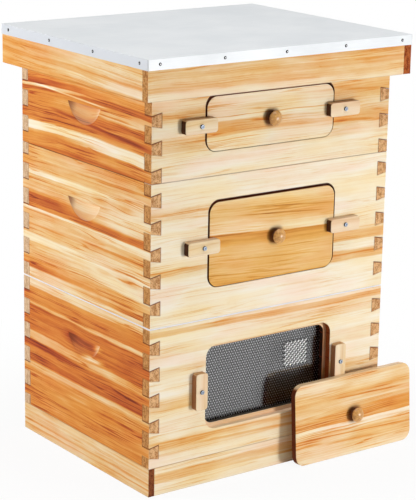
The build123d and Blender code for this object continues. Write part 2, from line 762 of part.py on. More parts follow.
# Roof: each rim board covers the end of the next one
save(roof_wood((-RIM_X, -RIM_Y, RIM_BOTTOM), (ROOF_INNER_X, -ROOF_INNER_Y, RIM_TOP)), "roof_rim_front")
save(roof_wood((ROOF_INNER_X, -RIM_Y, RIM_BOTTOM), (RIM_X, ROOF_INNER_Y, RIM_TOP)), "roof_rim_right")
save(roof_wood((-ROOF_INNER_X, ROOF_INNER_Y, RIM_BOTTOM), (RIM_X, RIM_Y, RIM_TOP)), "roof_rim_back")
save(roof_wood((-RIM_X, -ROOF_INNER_Y, RIM_BOTTOM), (-ROOF_INNER_X, RIM_Y, RIM_TOP)), "roof_rim_left")
save(
    roof_wood((-ROOF_INNER_X, -ROOF_INNER_Y, ROOF_BOARD_LEVEL), (ROOF_INNER_X, ROOF_INNER_Y, RIM_TOP)),
    "roof_top_board",
)
save(roof_metal_cap(), "roof_metal_cap")
save(roof_nails(), "roof_nails")
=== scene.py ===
"""Looks of a stacked wooden beehive with observation windows, dressed round its packed construction.

X runs along the window side to the right, Y from the window side to the back and Z up, in metres. The
origin is on the ground, under the middle of the boxes.
"""

import logging
import math
from dataclasses import dataclass, field, replace
from enum import Enum
from typing import Union

import bpy
import numpy as np
from mathutils import Matrix, Vector


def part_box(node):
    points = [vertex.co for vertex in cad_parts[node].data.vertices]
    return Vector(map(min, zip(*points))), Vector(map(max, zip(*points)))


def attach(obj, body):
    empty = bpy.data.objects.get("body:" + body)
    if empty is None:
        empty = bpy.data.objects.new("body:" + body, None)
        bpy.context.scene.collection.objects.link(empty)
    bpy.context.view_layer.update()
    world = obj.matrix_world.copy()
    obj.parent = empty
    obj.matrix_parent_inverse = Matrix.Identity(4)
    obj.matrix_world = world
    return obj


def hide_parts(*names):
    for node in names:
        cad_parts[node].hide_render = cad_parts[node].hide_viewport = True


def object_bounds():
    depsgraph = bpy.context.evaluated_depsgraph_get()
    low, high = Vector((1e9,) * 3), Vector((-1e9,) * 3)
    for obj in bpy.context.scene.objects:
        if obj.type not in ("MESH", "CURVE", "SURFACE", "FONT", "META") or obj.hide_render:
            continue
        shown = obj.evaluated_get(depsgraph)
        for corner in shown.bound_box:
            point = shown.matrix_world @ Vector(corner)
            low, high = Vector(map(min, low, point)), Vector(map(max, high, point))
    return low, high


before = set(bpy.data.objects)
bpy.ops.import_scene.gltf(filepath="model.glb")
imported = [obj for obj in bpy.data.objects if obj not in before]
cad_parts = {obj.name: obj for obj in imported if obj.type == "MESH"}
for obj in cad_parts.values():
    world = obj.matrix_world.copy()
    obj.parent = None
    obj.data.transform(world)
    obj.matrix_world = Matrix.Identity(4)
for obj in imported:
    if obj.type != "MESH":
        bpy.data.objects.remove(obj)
CAD_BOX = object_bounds()

LOG = logging.getLogger("hive")
MM = 0.001

# Pairs and triples are of numbers, bands are tones by height, and a tint is a colour and its share.
Colour = tuple[float, float, float, float]
Pair = tuple[float, float]
Triple = tuple[float, float, float]
Bands = tuple[Pair, ...]
Tint = tuple[str, float]


class Axis(Enum):
    """The three axes of the shared frame."""

    X = 0
    Y = 1
    Z = 2


class Side(Enum):
    """The four sides of the hive, with the outward direction of each along X and Y."""

    FRONT = (0, -1)
    BACK = (0, 1)
    LEFT = (-1, 0)
    RIGHT = (1, 0)

    @property
    def word(self) -> str:
        """The side's name, as the nodes' names hold it."""
        return self.name.lower()


class BoxName(Enum):
    """The three boxes of the stack."""

    LOWER = "lower"
    MIDDLE = "middle"
    TOP = "top"


def srgb(code: str) -> Colour:
    """Turns a colour code into light: each channel through the screen's own curve.

    Args:
        code: A hash and six digits.

    Returns:
        The linear colour, with full alpha.
    """
    parts = [int(code[start:start + 2], 16) / 255 for start in (1, 3, 5)]
    linear = [part / 12.92 if part <= 0.04045 else ((part + 0.055) / 1.055) ** 2.4 for part in parts]
    return (*linear, 1.0)


def grey(level: float) -> Colour:
    """A grey of that linear level."""
    return (level, level, level, 1.0)


class Value:
    """A number that varies over a surface: a socket whose arithmetic adds Math nodes."""

    def __init__(self, shader: "Shader", socket: bpy.types.NodeSocket) -> None:
        """Keeps the shader that the socket belongs to."""
        self.shader = shader
        self.socket = socket

    def __add__(self, other: "Number") -> "Value":
        """Sum."""
        return self.shader.math("ADD", self, other)

    def __radd__(self, other: "Number") -> "Value":
        """Sum, from the right."""
        return self.shader.math("ADD", other, self)

    def __sub__(self, other: "Number") -> "Value":
        """Difference."""
        return self.shader.math("SUBTRACT", self, other)

    def __rsub__(self, other: "Number") -> "Value":
        """Difference, from the right."""
        return self.shader.math("SUBTRACT", other, self)

    def __mul__(self, other: "Number") -> "Value":
        """Product."""
        return self.shader.math("MULTIPLY", self, other)

    def __rmul__(self, other: "Number") -> "Value":
        """Product, from the right."""
        return self.shader.math("MULTIPLY", other, self)

    def __truediv__(self, other: "Number") -> "Value":
        """Quotient."""
        return self.shader.math("DIVIDE", self, other)

    def __pow__(self, other: "Number") -> "Value":
        """Power."""
        return self.shader.math("POWER", self, other)

    def __abs__(self) -> "Value":
        """Size without sign."""
        return self.shader.math("ABSOLUTE", self)


Number = Union[Value, float]
Feed = Union[Value, bpy.types.NodeSocket, float, tuple, Vector]


class Shader:
    """The node tree of one material or world, and the few kinds of node that they share."""

    def __init__(self, owner: bpy.types.Material | bpy.types.World) -> None:
        """Starts an empty node tree.

        Args:
            owner: A material or a world.
        """
        self.owner = owner
        owner.use_nodes = True
        self.tree = owner.node_tree
        self.tree.nodes.clear()
        self.coordinates = self.node("TexCoord")

    @classmethod
    def of_material(cls, name: str) -> "Shader":
        """The shader of a new material."""
        return cls(bpy.data.materials.new(name))

    def node(self, kind: str, settings: dict | None = None, sockets: dict | None = None) -> bpy.types.Node:
        """Adds a node.

        Args:
            kind: The node's type, without the prefix that all shader nodes share.
            settings: Properties to set first; "stops" holds a ramp's positions and colours.
            sockets: Values or links of the inputs, by name or by number.

        Returns:
            The new node.
        """
        made = self.tree.nodes.new("ShaderNode" + kind)
        for key, setting in (settings or {}).items():
            if key == "stops":
                self.set_stops(made.color_ramp, setting)
            else:
                setattr(made, key, setting)
        for key, feed in (sockets or {}).items():
            self.feed(made.inputs[key], feed)
        return made

    def feed(self, socket: bpy.types.NodeSocket, feed: Feed) -> None:
        """Links a socket to what feeds it, or sets its value.

        Args:
            socket: The input.
            feed: A value, another node's output, or a plain number, colour or vector.
        """
        if isinstance(feed, Value):
            self.tree.links.new(feed.socket, socket)
        elif isinstance(feed, bpy.types.NodeSocket):
            self.tree.links.new(feed, socket)
        else:
            socket.default_value = feed

    @staticmethod
    def set_stops(ramp: bpy.types.ColorRamp, stops: list[tuple[float, Colour]]) -> None:
        """Gives a ramp its stops.

        Args:
            ramp: The ramp of a node.
            stops: Positions and colours, in rising order of position.
        """
        while len(ramp.elements) > 1:
            ramp.elements.remove(ramp.elements[-1])
        ramp.elements[0].position, ramp.elements[0].color = stops[0]
        for position, colour in stops[1:]:
            ramp.elements.new(position).color = colour

    def math(self, operation: str, *operands: Number) -> Value:
        """The result of one Math node."""
        made = self.node("Math", {"operation": operation}, dict(enumerate(operands)))
        return Value(self, made.outputs[0])

    def split(self, vector: bpy.types.NodeSocket) -> list[Value]:
        """The three components of a vector."""
        made = self.node("SeparateXYZ", None, {0: vector})
        return [Value(self, output) for output in made.outputs]

    def join(self, *components: Number) -> bpy.types.NodeSocket:
        """A vector of three components."""
        return self.node("CombineXYZ", None, dict(enumerate(components))).outputs[0]

    def position(self) -> list[Value]:
        """The point's own place in the shared frame at rest."""
        return self.split(self.coordinates.outputs["Object"])

    def stretched(self, scales: Triple) -> bpy.types.NodeSocket:
        """The point's own place, with each axis multiplied by its scale."""
        return self.join(*[value * scale for value, scale in zip(self.position(), scales)])

    def facing(self) -> list[Value]:
        """The surface's outward direction in the object's own frame."""
        return self.split(self.coordinates.outputs["Normal"])

    def attribute(self, name: str) -> Value:
        """A number that the piece's own mesh carries."""
        return Value(self, self.node("Attribute", {"attribute_name": name}).outputs["Fac"])

    def smooth(self, value: Number, low: float, high: float) -> Value:
        """Rises smoothly from 0 at low to 1 at high."""
        made = self.node("MapRange", {"interpolation_type": "SMOOTHSTEP"}, {0: value, 1: low, 2: high})
        return Value(self, made.outputs[0])

    def line(self, distance: Number, width: float, core: float = 0.2) -> Value:
        """A soft line: 1 over its core, which is a share of its width, and 0 from one width away."""
        return 1 - self.smooth(abs(distance), core * width, width)

    def seen_directly(self) -> Value:
        """Tells rays that show the surroundings from rays that light the hive.

        Returns:
            1 for rays from the camera, from a mirror or through a pane, and 0 for rays of diffuse light.
        """
        path = self.node("LightPath")
        camera, mirror, through = [
            Value(self, path.outputs[f"Is {ray} Ray"]) for ray in ("Camera", "Glossy", "Transmission")
        ]
        return self.math("MAXIMUM", self.math("MAXIMUM", camera, mirror), through)

    def noise(self, vector: Feed, detail: float = 2.0, rough: float = 0.5, scale: float = 1.0) -> Value:
        """Soft noise about one half."""
        sockets = {"Vector": vector, "Scale": scale, "Detail": detail, "Roughness": rough}
        return Value(self, self.node("TexNoise", None, sockets).outputs[0])

    def speckle(self, scale: float, detail: float = 2.0, rough: float = 0.5) -> Value:
        """Soft noise over the point's own place, with about that many spots in a metre."""
        return self.noise(self.coordinates.outputs["Object"], detail, rough, scale)

    def ramp(self, factor: Number, stops: list[tuple[float, Colour]]) -> bpy.types.NodeSocket:
        """A colour looked up between stops."""
        return self.node("ValToRGB", {"stops": stops}, {0: factor}).outputs[0]

    def curve(self, factor: Number, points: Bands) -> Value:
        """A number looked up between points, as a grey ramp."""
        return Value(self, self.ramp(factor, [(place, grey(level)) for place, level in points]))

    def mix(self, factor: Number, first: Feed, second: Feed, blend: str = "MIX") -> bpy.types.NodeSocket:
        """Two colours mixed by a factor."""
        settings = {"data_type": "RGBA", "blend_type": blend}
        return self.node("Mix", settings, {0: factor, 6: first, 7: second}).outputs[2]

    def bump(self, height: Number, strength: float, distance: float) -> bpy.types.NodeSocket:
        """A surface direction tilted by a height."""
        sockets = {"Strength": strength, "Distance": distance, "Height": height}
        return self.node("Bump", None, sockets).outputs[0]

    def blend(
        self, factor: Feed, first: bpy.types.NodeSocket, second: bpy.types.NodeSocket
    ) -> bpy.types.NodeSocket:
        """Two surfaces mixed by a factor."""
        return self.node("MixShader", None, {0: factor, 1: first, 2: second}).outputs[0]

    def principled(self, sockets: dict) -> bpy.types.NodeSocket:
        """A standard surface."""
        return self.node("BsdfPrincipled", None, sockets).outputs[0]

    def finish(self, surface: bpy.types.NodeSocket) -> bpy.types.Material:
        """Connects the surface and hands over the material."""
        self.node("OutputMaterial", None, {"Surface": surface})
        return self.owner


@dataclass(frozen=True)
class Board:
    """Where a board lies and how its grain runs.

    Attributes:
        low: Lowest corner.
        high: Highest corner.
        grain: Axis along the grain.
        across: Axis that the bands of the figure are stacked along.
    """

    low: Triple
    high: Triple
    grain: Axis
    across: Axis

    @classmethod
    def of_node(cls, node: str, grain: Axis, across: Axis) -> "Board":
        """The board that a node's box describes."""
        low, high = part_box(node)
        return cls(tuple(low), tuple(high), grain, across)

    def size(self, axis: Axis) -> float:
        """Length along an axis."""
        return self.high[axis.value] - self.low[axis.value]

    @property
    def thick(self) -> Axis:
        """The axis that is neither along the grain nor across the bands."""
        return next(axis for axis in Axis if axis not in (self.grain, self.across))


@dataclass(frozen=True)
class Streak:
    """A soft streak between two points of a board's face.

    Attributes:
        start: Where it begins, in shares of the board's length and height.
        end: Where it ends, in the same shares.
        width: Half its width, as a share of the board's height.
        tone: What it adds to the tone.
        fade: Reach of its soft ends, as a share of the board's length.
    """

    start: Pair
    end: Pair
    width: float
    tone: float
    fade: float = 0.08

    def tone_at(self, shader: Shader, along: Value, height: Value) -> Value:
        """The tone that the streak adds: full on its line, nothing one width away or past its ends.

        Args:
            shader: The board's shader.
            along: The point's place along the grain, as a share of the board's length.
            height: The point's place across the grain, as a share of the board's height.

        Returns:
            The tone.
        """
        (start, low), (end, high) = self.start, self.end
        line = low + (high - low) / (end - start) * (along - start)
        body = shader.line(height - line, self.width, core=0.15)
        begun = shader.smooth(along, start - self.fade, start + self.fade)
        ended = shader.smooth(along, end - self.fade, end + self.fade)
        return self.tone * body * begun * (1 - ended)


@dataclass(frozen=True)
class Knot:
    """A knot that the grain flows round.

    Attributes:
        along: Place along the grain, as a share of the board's length.
        height: Place across the grain, as a share of the board's height.
        reach: Half length in metres.
        width: Half width in metres.
        tone: What its heart adds to the tone.
        push: How far it spreads the grain, from 0 to 1.
    """

    along: float
    height: float
    reach: float
    width: float
    tone: float
    push: float = 0.8

    def beside(self, grain: "Grain") -> Value:
        """Distance from the knot's middle, across the grain."""
        return grain.rise - self.height * grain.height

    def swell(self, grain: "Grain", spread: float) -> Value:
        """A bell over the knot: e to the minus sum of the squared distances in its own half sizes.

        Args:
            grain: Where the point lies in its board.
            spread: How many times the knot's half sizes the bell takes.

        Returns:
            1 in the middle, falling to nothing.
        """
        along = (grain.run - self.along * grain.length) / (self.reach * spread)
        beside = self.beside(grain) / (self.width * spread)
        return grain.shader.math("EXPONENT", 0 - along * along - beside * beside)


class Faces(Enum):
    """Which surfaces of a cut region are tinted, by the way they face.

    A value holds an axis, the way along it, and the slants at which the tint begins and is full. Edges
    face neither way along their axis.
    """

    ALL = None
    EDGES = (Axis.Y, 0, 0.6, 0.85)
    LEFT = (Axis.X, -1, 0.6, 0.85)
    FORWARD = (Axis.Y, -1, 0.26, 0.44)
    BACKWARD = (Axis.Y, 1, 0.2, 0.46)
    UPWARD = (Axis.Z, 1, 0.6, 0.85)


@dataclass(frozen=True)
class Cut:
    """A region that was cut into a board, where the wood looks different.

    Attributes:
        low: Lowest corner of the region.
        high: Highest corner of the region.
        tint: Colour of the cut surface.
        share: How much of the tint shows.
        faces: Which of its surfaces are tinted.
        soft: Width of the region's soft border.
        radius: Corner radius of the region, seen from the front.
    """

    low: Triple
    high: Triple
    tint: str
    share: float
    faces: Faces = Faces.ALL
    soft: float = 0.5 * MM
    radius: float = 0.0

    @classmethod
    def all_over(cls, board: Board, tint: str, share: float, faces: Faces) -> "Cut":
        """A cut that takes in a whole board, with room for the soft border.

        Args:
            board: The board.
            tint: Colour of the cut surface.
            share: How much of the tint shows.
            faces: Which surfaces are tinted.

        Returns:
            The cut.
        """
        margin = 2 * MM
        low = tuple(value - margin for value in board.low)
        high = tuple(value + margin for value in board.high)
        return cls(low, high, tint, share, faces)

    def mask(self, shader: Shader) -> Value:
        """The tint's share inside the region, falling to nothing over the soft border.

        Args:
            shader: The board's shader.

        Returns:
            The share, on the surfaces that face the right way.
        """
        amount = self.share
        for value, low, high in zip(shader.position(), self.low, self.high):
            amount = amount * shader.smooth(value, low, low + self.soft)
            amount = amount * (1 - shader.smooth(value, high - self.soft, high))
        if self.radius:
            amount = amount * self.rounded(shader)
        if self.faces is Faces.ALL:
            return amount
        axis, way, begin, full = self.faces.value
        slant = shader.facing()[axis.value]
        if self.faces is Faces.EDGES:
            return amount * (1 - shader.smooth(abs(slant), begin, full))
        return amount * shader.smooth(slant * way, begin, full)

    def rounded(self, shader: Shader) -> Value:
        """Leaves the corners out: places farther from a corner's centre than its radius.

        Args:
            shader: The board's shader.

        Returns:
            1 within the rounded outline and 0 outside it.
        """
        x, _, z = shader.position()
        squares = 0.0
        for value, low, high in ((x, self.low[0], self.high[0]), (z, self.low[2], self.high[2])):
            straight = (high - low) / 2 - self.radius
            beyond = shader.math("MAXIMUM", abs(value - (low + high) / 2) - straight, 0.0)
            squares = squares + beyond * beyond
        return 1 - shader.smooth(shader.math("SQRT", squares), self.radius - self.soft, self.radius)


@dataclass(frozen=True)
class Dovetail:
    """The layout of a box's dovetails, whose joints show as fine dark lines; the line above each pin is
    darker, as painted shade under the tail above.

    Attributes:
        first: Height of the lowest pin's middle.
        corner: Distance of the corners from the middle, along X and along Y.
        depth: Thickness of the boards.
        pitch: Distance from pin to pin.
        half: Half height of a pin at the corner.
        slope: How much a pin's half height grows for each metre away from the corner.
        width: Half width of the lines above and below a pin.
        under: How dark the line below a pin is, beside the one above it, which is darker as painted shade.
        shoulder_width: Half width of the line where the joint ends.
        shoulder_share: How dark that line is, beside the others.
        soft: Distance over which a line ends.
        share: How dark the lines are.
    """

    first: float
    corner: Pair
    depth: float
    pitch: float = 46.0 * MM
    half: float = 8.5 * MM
    slope: float = 0.2
    width: float = 1.6 * MM
    under: float = 0.25
    shoulder_width: float = 1.5 * MM
    shoulder_share: float = 0.6
    soft: float = 0.5 * MM
    share: float = 0.9

    @classmethod
    def of_box(cls, box: BoxName, lowest: float) -> "Dovetail":
        """The dovetails of a box, with its lowest pin's middle that far above its lower edge."""
        low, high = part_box(f"{box.value}_front_board")
        return cls(low.z + lowest, (high.x, -low.y), high.y - low.y)

    def lines(self, shader: Shader) -> Value:
        """Joint lines round the pins on the front and back, and round the tails on the left and right.

        A point's height is folded to its offset from the nearest pin's middle, and a line runs where that
        offset equals the pin's half height.

        Args:
            shader: The board's shader.

        Returns:
            How dark the lines are.
        """
        x, y, z = shader.position()
        sideways = shader.smooth(abs(shader.facing()[Axis.X.value]), 0.6, 0.7)
        inward_x = self.corner[0] - abs(x)
        inward = inward_x + (self.corner[1] - abs(y) - inward_x) * sideways
        turns = (z - self.first) / self.pitch + 0.5
        offset = (turns - shader.math("FLOOR", turns) - 0.5) * self.pitch
        beyond = abs(offset) - self.half - inward * (1 - sideways) * self.slope
        above = shader.smooth(offset, -2 * self.soft, 2 * self.soft)
        # Painted shade: the line above each pin is darker than the one below it.
        joint = shader.line(beyond, self.width) * (self.under + (1 - self.under) * above)
        joint = joint * (1 - shader.smooth(inward, self.depth, self.depth + self.soft))
        shown = shader.smooth(beyond * (2 * sideways - 1), -self.soft, self.soft)
        shoulder = shader.line(inward - self.depth, self.shoulder_width) * shown * self.shoulder_share
        return shader.math("MAXIMUM", joint, shoulder) * self.share


@dataclass(frozen=True)
class Figure:
    """The figure of one board: tone by height at both ends of the grain, and what disturbs it.

    Attributes:
        near: Tone by height at the low end of the grain.
        far: Tone by height at the high end of the grain.
        lean: How far the bands sink from the low end to the high end, as a share of the height.
        bow: How far the bands rise in the middle of the length, as a share of the height.
        sway: Slow wander of the bands, as a share of the height.
        streaks: Single streaks on top of the bands.
        knots: Knots that the grain flows round.
        seed: Sets one board's noise apart from the next.
    """

    near: Bands
    far: Bands
    lean: float = 0.0
    bow: float = 0.0
    sway: float = 0.03
    streaks: tuple[Streak, ...] = ()
    knots: tuple[Knot, ...] = ()
    seed: float = 0.0


@dataclass(frozen=True)
class Grain:
    """Where a point lies in its board, in metres.

    Attributes:
        shader: The board's shader.
        seed: Sets one board's noise apart from the next.
        run: Distance along the grain from the board's low end.
        rise: Distance across the bands from the board's low edge.
        depth: Distance into the board from its low face.
        length: The board's length along the grain.
        height: The board's height across the bands.
    """

    shader: Shader
    seed: float
    run: Value
    rise: Value
    depth: Value
    length: float
    height: float

    @classmethod
    def of_board(cls, shader: Shader, seed: float, board: Board) -> "Grain":
        """The point's place in a board.

        Args:
            shader: The board's shader.
            seed: Sets one board's noise apart from the next.
            board: Where the board lies and how its grain runs.

        Returns:
            The place.
        """
        place = [value - low for value, low in zip(shader.position(), board.low)]
        axes = (board.grain, board.across, board.thick)
        places = [place[axis.value] for axis in axes]
        return cls(shader, seed, *places, board.size(board.grain), board.size(board.across))


class Shift(Enum):
    """Which way a board's seed shifts its noise."""

    ALONG = "along"
    ACROSS = "across"


@dataclass(frozen=True)
class GrainNoise:
    """Soft noise that is stretched along the grain.

    Attributes:
        spots: How many in a metre along the grain, across the bands and into the board.
        detail: Number of finer layers.
        rough: Strength of the finer layers.
        shift: Which way a board's seed shifts it.
    """

    spots: Triple
    detail: float = 2.0
    rough: float = 0.5
    shift: Shift = Shift.ACROSS

    def at(self, grain: Grain, height: Value) -> Value:
        """The noise at a point.

        Args:
            grain: Where the point lies in its board.
            height: The height at which the noise is read.

        Returns:
            A number about one half.
        """
        along = grain.run * self.spots[0]
        up = height * self.spots[1]
        if self.shift is Shift.ALONG:
            along = along + grain.seed
        else:
            up = up + grain.seed
        place = grain.shader.join(along, up, grain.depth * self.spots[2])
        return grain.shader.noise(place, self.detail, self.rough)


# What moves the bands and the streaks, and how far.
SLOW_SWAY = GrainNoise((3.0, 5.0, 4.0), 1.0, shift=Shift.ALONG)
QUICK_SWAY = GrainNoise((14.0, 24.0, 18.0))
STREAK_SWAY = GrainNoise((9.0, 30.0, 30.0), shift=Shift.ALONG)
QUICK_REACH = 4.0 * MM
STREAK_REACH = 2.5 * MM
KNOT_SPREAD = 1.7

# What varies the tone and the hue within a band.
FINE_LINES = GrainNoise((5.0, 260.0, 60.0), 5.0, 0.68, Shift.ALONG)
PORES = GrainNoise((70.0, 1100.0, 700.0), 3.0, 0.6)
BLOTCHES = GrainNoise((6.0, 34.0, 20.0), 3.0)
GROWTH = GrainNoise((1.6, 75.0, 10.0))
RINGS_IN_GROWTH = 7.0
PATCHES = GrainNoise((15.0, 42.0, 12.0), 3.0, shift=Shift.ALONG)
HUES = GrainNoise((5.0, 22.0, 8.0))
PINK_TINGE = "#ffe6e0"
YELLOW_TINGE = "#fff0c0"
HUE_STOPS = [(0.34, srgb(PINK_TINGE)), (0.5, grey(1.0)), (0.66, srgb(YELLOW_TINGE))]

# End grain: spots in a metre of the rings, across and into the board, and of the open pores.
END_RINGS = (90.0, 160.0)
END_PORES = 420.0


@dataclass(frozen=True)
class WoodFinish:
    """Planed, unvarnished wood.

    Attributes:
        tones: Colours from sapwood to the darkest heartwood, evenly spread over the tone.
        end_light: Light colour of end grain.
        end_dark: Dark colour of end grain.
        streak: Strength of the fine lines along the grain.
        blotch: Strength of slow changes of tone.
        patch: Strength of short, soft patches.
        fleck: Strength of the short dark pores.
        ring: Strength of the thin lines between growth rings.
        drift: Strength of slow changes of hue.
        dive: How far the growth layers sink for each metre into the board.
        roughness: Roughness of a smooth face.
        gloss: How much a smooth face mirrors.
        seam: Colour of the lines along joints and edges.
        lip: Width of the lines along the edges.
    """

    tones: tuple[str, ...]
    end_light: str
    end_dark: str
    streak: float = 0.26
    blotch: float = 0.14
    patch: float = 0.03
    fleck: float = 0.16
    ring: float = 0.26
    drift: float = 0.5
    dive: float = 1.2
    roughness: float = 0.56
    gloss: float = 0.14
    seam: str = "#722a08"
    lip: float = 1.5 * MM

    def material(
        self, name: str, board: Board, figure: Figure, cuts: tuple[Cut, ...] = (),
        joint: Dovetail | None = None, lips: Pair = (0.25, 0.25),
    ) -> bpy.types.Material:
        """Wood with this finish and that figure.

        Args:
            name: Name of the material.
            board: Where the wood lies and how its grain runs.
            figure: The board's bands, streaks and knots.
            cuts: Regions that were cut into the board.
            joint: Layout of the dovetails at the board's ends, if it has any.
            lips: How dark the lines along the lower and the upper edge are.

        Returns:
            The material.
        """
        shader = Shader.of_material(name)
        grain = Grain.of_board(shader, figure.seed, board)
        flow = self.flow(grain, figure)
        lines = FINE_LINES.at(grain, flow)
        pores = PORES.at(grain, flow)
        tone = self.figured_tone(grain, figure, flow) + self.grain_tone(grain, flow, lines, pores)
        colour = self.drifted(grain, flow, shader.ramp(tone, self.tone_stops()))
        ends = shader.smooth(abs(shader.facing()[board.grain.value]), 0.7, 0.8)
        colour = shader.mix(ends, colour, self.end_grain(grain))
        for cut in cuts:
            colour = shader.mix(cut.mask(shader), colour, srgb(cut.tint))
        low_lip = 1 - shader.smooth(grain.rise, 0.0, self.lip)
        high_lip = 1 - shader.smooth(grain.height - grain.rise, 0.0, self.lip)
        dark = (low_lip * lips[0] + high_lip * lips[1]) * (1 - ends)
        if joint:
            dark = shader.math("MAXIMUM", dark, joint.lines(shader))
        return shader.finish(shader.principled({
            "Base Color": shader.mix(dark, colour, srgb(self.seam)),
            "Roughness": self.roughness + (lines - 0.5) * 0.2 + ends * 0.2,
            "Specular IOR Level": self.gloss,
            "Normal": shader.bump(lines * 0.5 + pores * 0.5, strength=0.3, distance=0.3 * MM),
        }))

    def flow(self, grain: Grain, figure: Figure) -> Value:
        """Where the bands are read: the height, sunk with depth, leant, bowed, swayed and spread by knots.

        Args:
            grain: Where the point lies in its board.
            figure: The board's bands, streaks and knots.

        Returns:
            The height in metres.
        """
        along = grain.run / grain.length
        slow = SLOW_SWAY.at(grain, grain.rise) - 0.5
        quick = QUICK_SWAY.at(grain, grain.rise) - 0.5
        flow = grain.rise + slow * (2 * figure.sway * grain.height)
        flow = flow + quick * QUICK_REACH + grain.depth * self.dive
        if figure.lean:
            flow = flow + (along - 0.5) * (figure.lean * grain.height)
        if figure.bow:
            flow = flow - along * (1 - along) * (4 * figure.bow * grain.height)
        for knot in figure.knots:
            flow = flow - knot.beside(grain) * knot.swell(grain, KNOT_SPREAD) * knot.push
        return flow

    @staticmethod
    def figured_tone(grain: Grain, figure: Figure, flow: Value) -> Value:
        """Tone of the bands, from those of the near end to those of the far end, with streaks and knots.

        Args:
            grain: Where the point lies in its board.
            figure: The board's bands, streaks and knots.
            flow: The height at which the bands are read.

        Returns:
            The tone, from 0 for sapwood to 1 for the darkest heartwood.
        """
        shader = grain.shader
        along = grain.run / grain.length
        share = flow / grain.height
        tone = shader.curve(share, figure.near)
        if figure.far != figure.near:
            far = shader.curve(share, figure.far)
            tone = tone + (far - tone) * shader.smooth(along, 0.15, 0.85)
        wander = STREAK_SWAY.at(grain, grain.rise) - 0.5
        level = grain.rise / grain.height + wander * (STREAK_REACH / grain.height)
        for streak in figure.streaks:
            tone = tone + streak.tone_at(shader, along, level)
        for knot in figure.knots:
            tone = tone + knot.tone * knot.swell(grain, 1.0)
        return tone

    def grain_tone(self, grain: Grain, flow: Value, lines: Value, pores: Value) -> Value:
        """What fine lines, blotches, patches, pores and the lines between growth rings add to the tone.

        Args:
            grain: Where the point lies in its board.
            flow: The height at which the bands are read.
            lines: Noise of the fine lines.
            pores: Noise of the pores.

        Returns:
            The tone to add.
        """
        shader = grain.shader
        blotch = BLOTCHES.at(grain, flow)
        growth = GROWTH.at(grain, flow)
        ring = shader.line(shader.math("FRACT", growth * RINGS_IN_GROWTH) - 0.5, 0.13)
        ring = ring * shader.smooth(blotch, 0.35, 0.6)
        fleck = shader.smooth(pores, 0.56, 0.74) * shader.smooth(blotch, 0.3, 0.7)
        cloud = PATCHES.at(grain, flow)
        patch = shader.smooth(cloud, 0.5, 0.64) - shader.smooth(cloud, 0.5, 0.36)
        tone = (lines - 0.5) * (2 * self.streak) + (blotch - 0.5) * (2 * self.blotch) + patch * self.patch
        return tone + fleck * self.fleck + ring * self.ring

    def drifted(self, grain: Grain, flow: Value, colour: bpy.types.NodeSocket) -> bpy.types.NodeSocket:
        """A colour pushed slowly towards pink in places and towards yellow in others."""
        hue = grain.shader.ramp(HUES.at(grain, flow), HUE_STOPS)
        return grain.shader.mix(self.drift, colour, hue, "MULTIPLY")

    def tone_stops(self) -> list[tuple[float, Colour]]:
        """The tones as stops of a ramp."""
        last = len(self.tones) - 1
        return [(index / last, srgb(code)) for index, code in enumerate(self.tones)]

    def end_grain(self, grain: Grain) -> bpy.types.NodeSocket:
        """Colour of end grain: soft rings, speckled with open pores.

        Args:
            grain: Where the point lies in its board.

        Returns:
            The colour.
        """
        shader = grain.shader
        across, into = END_RINGS
        rings = shader.noise(shader.join(grain.rise * across + grain.seed, grain.depth * into, 0.0))
        spots = shader.join(grain.rise * END_PORES, grain.depth * END_PORES, grain.seed)
        speckle = shader.noise(spots, 4.0, 0.75)
        mottle = shader.smooth(rings * 0.4 + speckle * 0.6, 0.41, 0.6)
        return shader.mix(mottle, srgb(self.end_light), srgb(self.end_dark))


@dataclass(frozen=True)
class TurnedWoodFinish:
    """Wood turned on a lathe and lightly oiled, with its grain along the axis of turning.

    Attributes:
        light: Lighter colour of the streaks.
        dark: Darker colour of the streaks.
        neck: Colour of the neck, a painted shade under the head.
        roughness: Roughness of a smooth place.
        streaks: Streaks in a metre along each axis.
        tool: Angle that the tool's rings run through in a metre of height, in radians.
        neck_shade: Heights between which the neck's painted shade ends.
    """

    light: str
    dark: str
    neck: str
    roughness: float
    streaks: Triple = (260.0, 40.0, 260.0)
    tool: float = 9000.0
    neck_shade: Pair = (8.0 * MM, 12.0 * MM)

    def material(self, name: str) -> bpy.types.Material:
        """Streaks along the axis, faint tool rings round it and a neck darkened as painted shade under the
        head, by the mesh's own heights.

        Args:
            name: Name of the material.

        Returns:
            The material.
        """
        shader = Shader.of_material(name)
        height = shader.attribute("height")
        streaks = shader.noise(shader.stretched(self.streaks), 4.0, 0.6)
        rings = shader.math("SINE", height * self.tool)
        tone = shader.smooth(streaks + rings * 0.02, 0.3, 0.7)
        colour = shader.mix(tone, srgb(self.light), srgb(self.dark))
        # Painted shade: the neck under the head is darkened by height.
        neck_shade = 1 - shader.smooth(height, *self.neck_shade)
        return shader.finish(shader.principled({
            "Base Color": shader.mix(neck_shade * 0.9, colour, srgb(self.neck)),
            "Roughness": self.roughness + streaks * 0.08,
            "Specular IOR Level": 0.25,
            "Coat Weight": 1 - neck_shade,
            "Coat Roughness": 0.3,
            "Normal": shader.bump(rings, strength=0.05, distance=0.1 * MM),
        }))


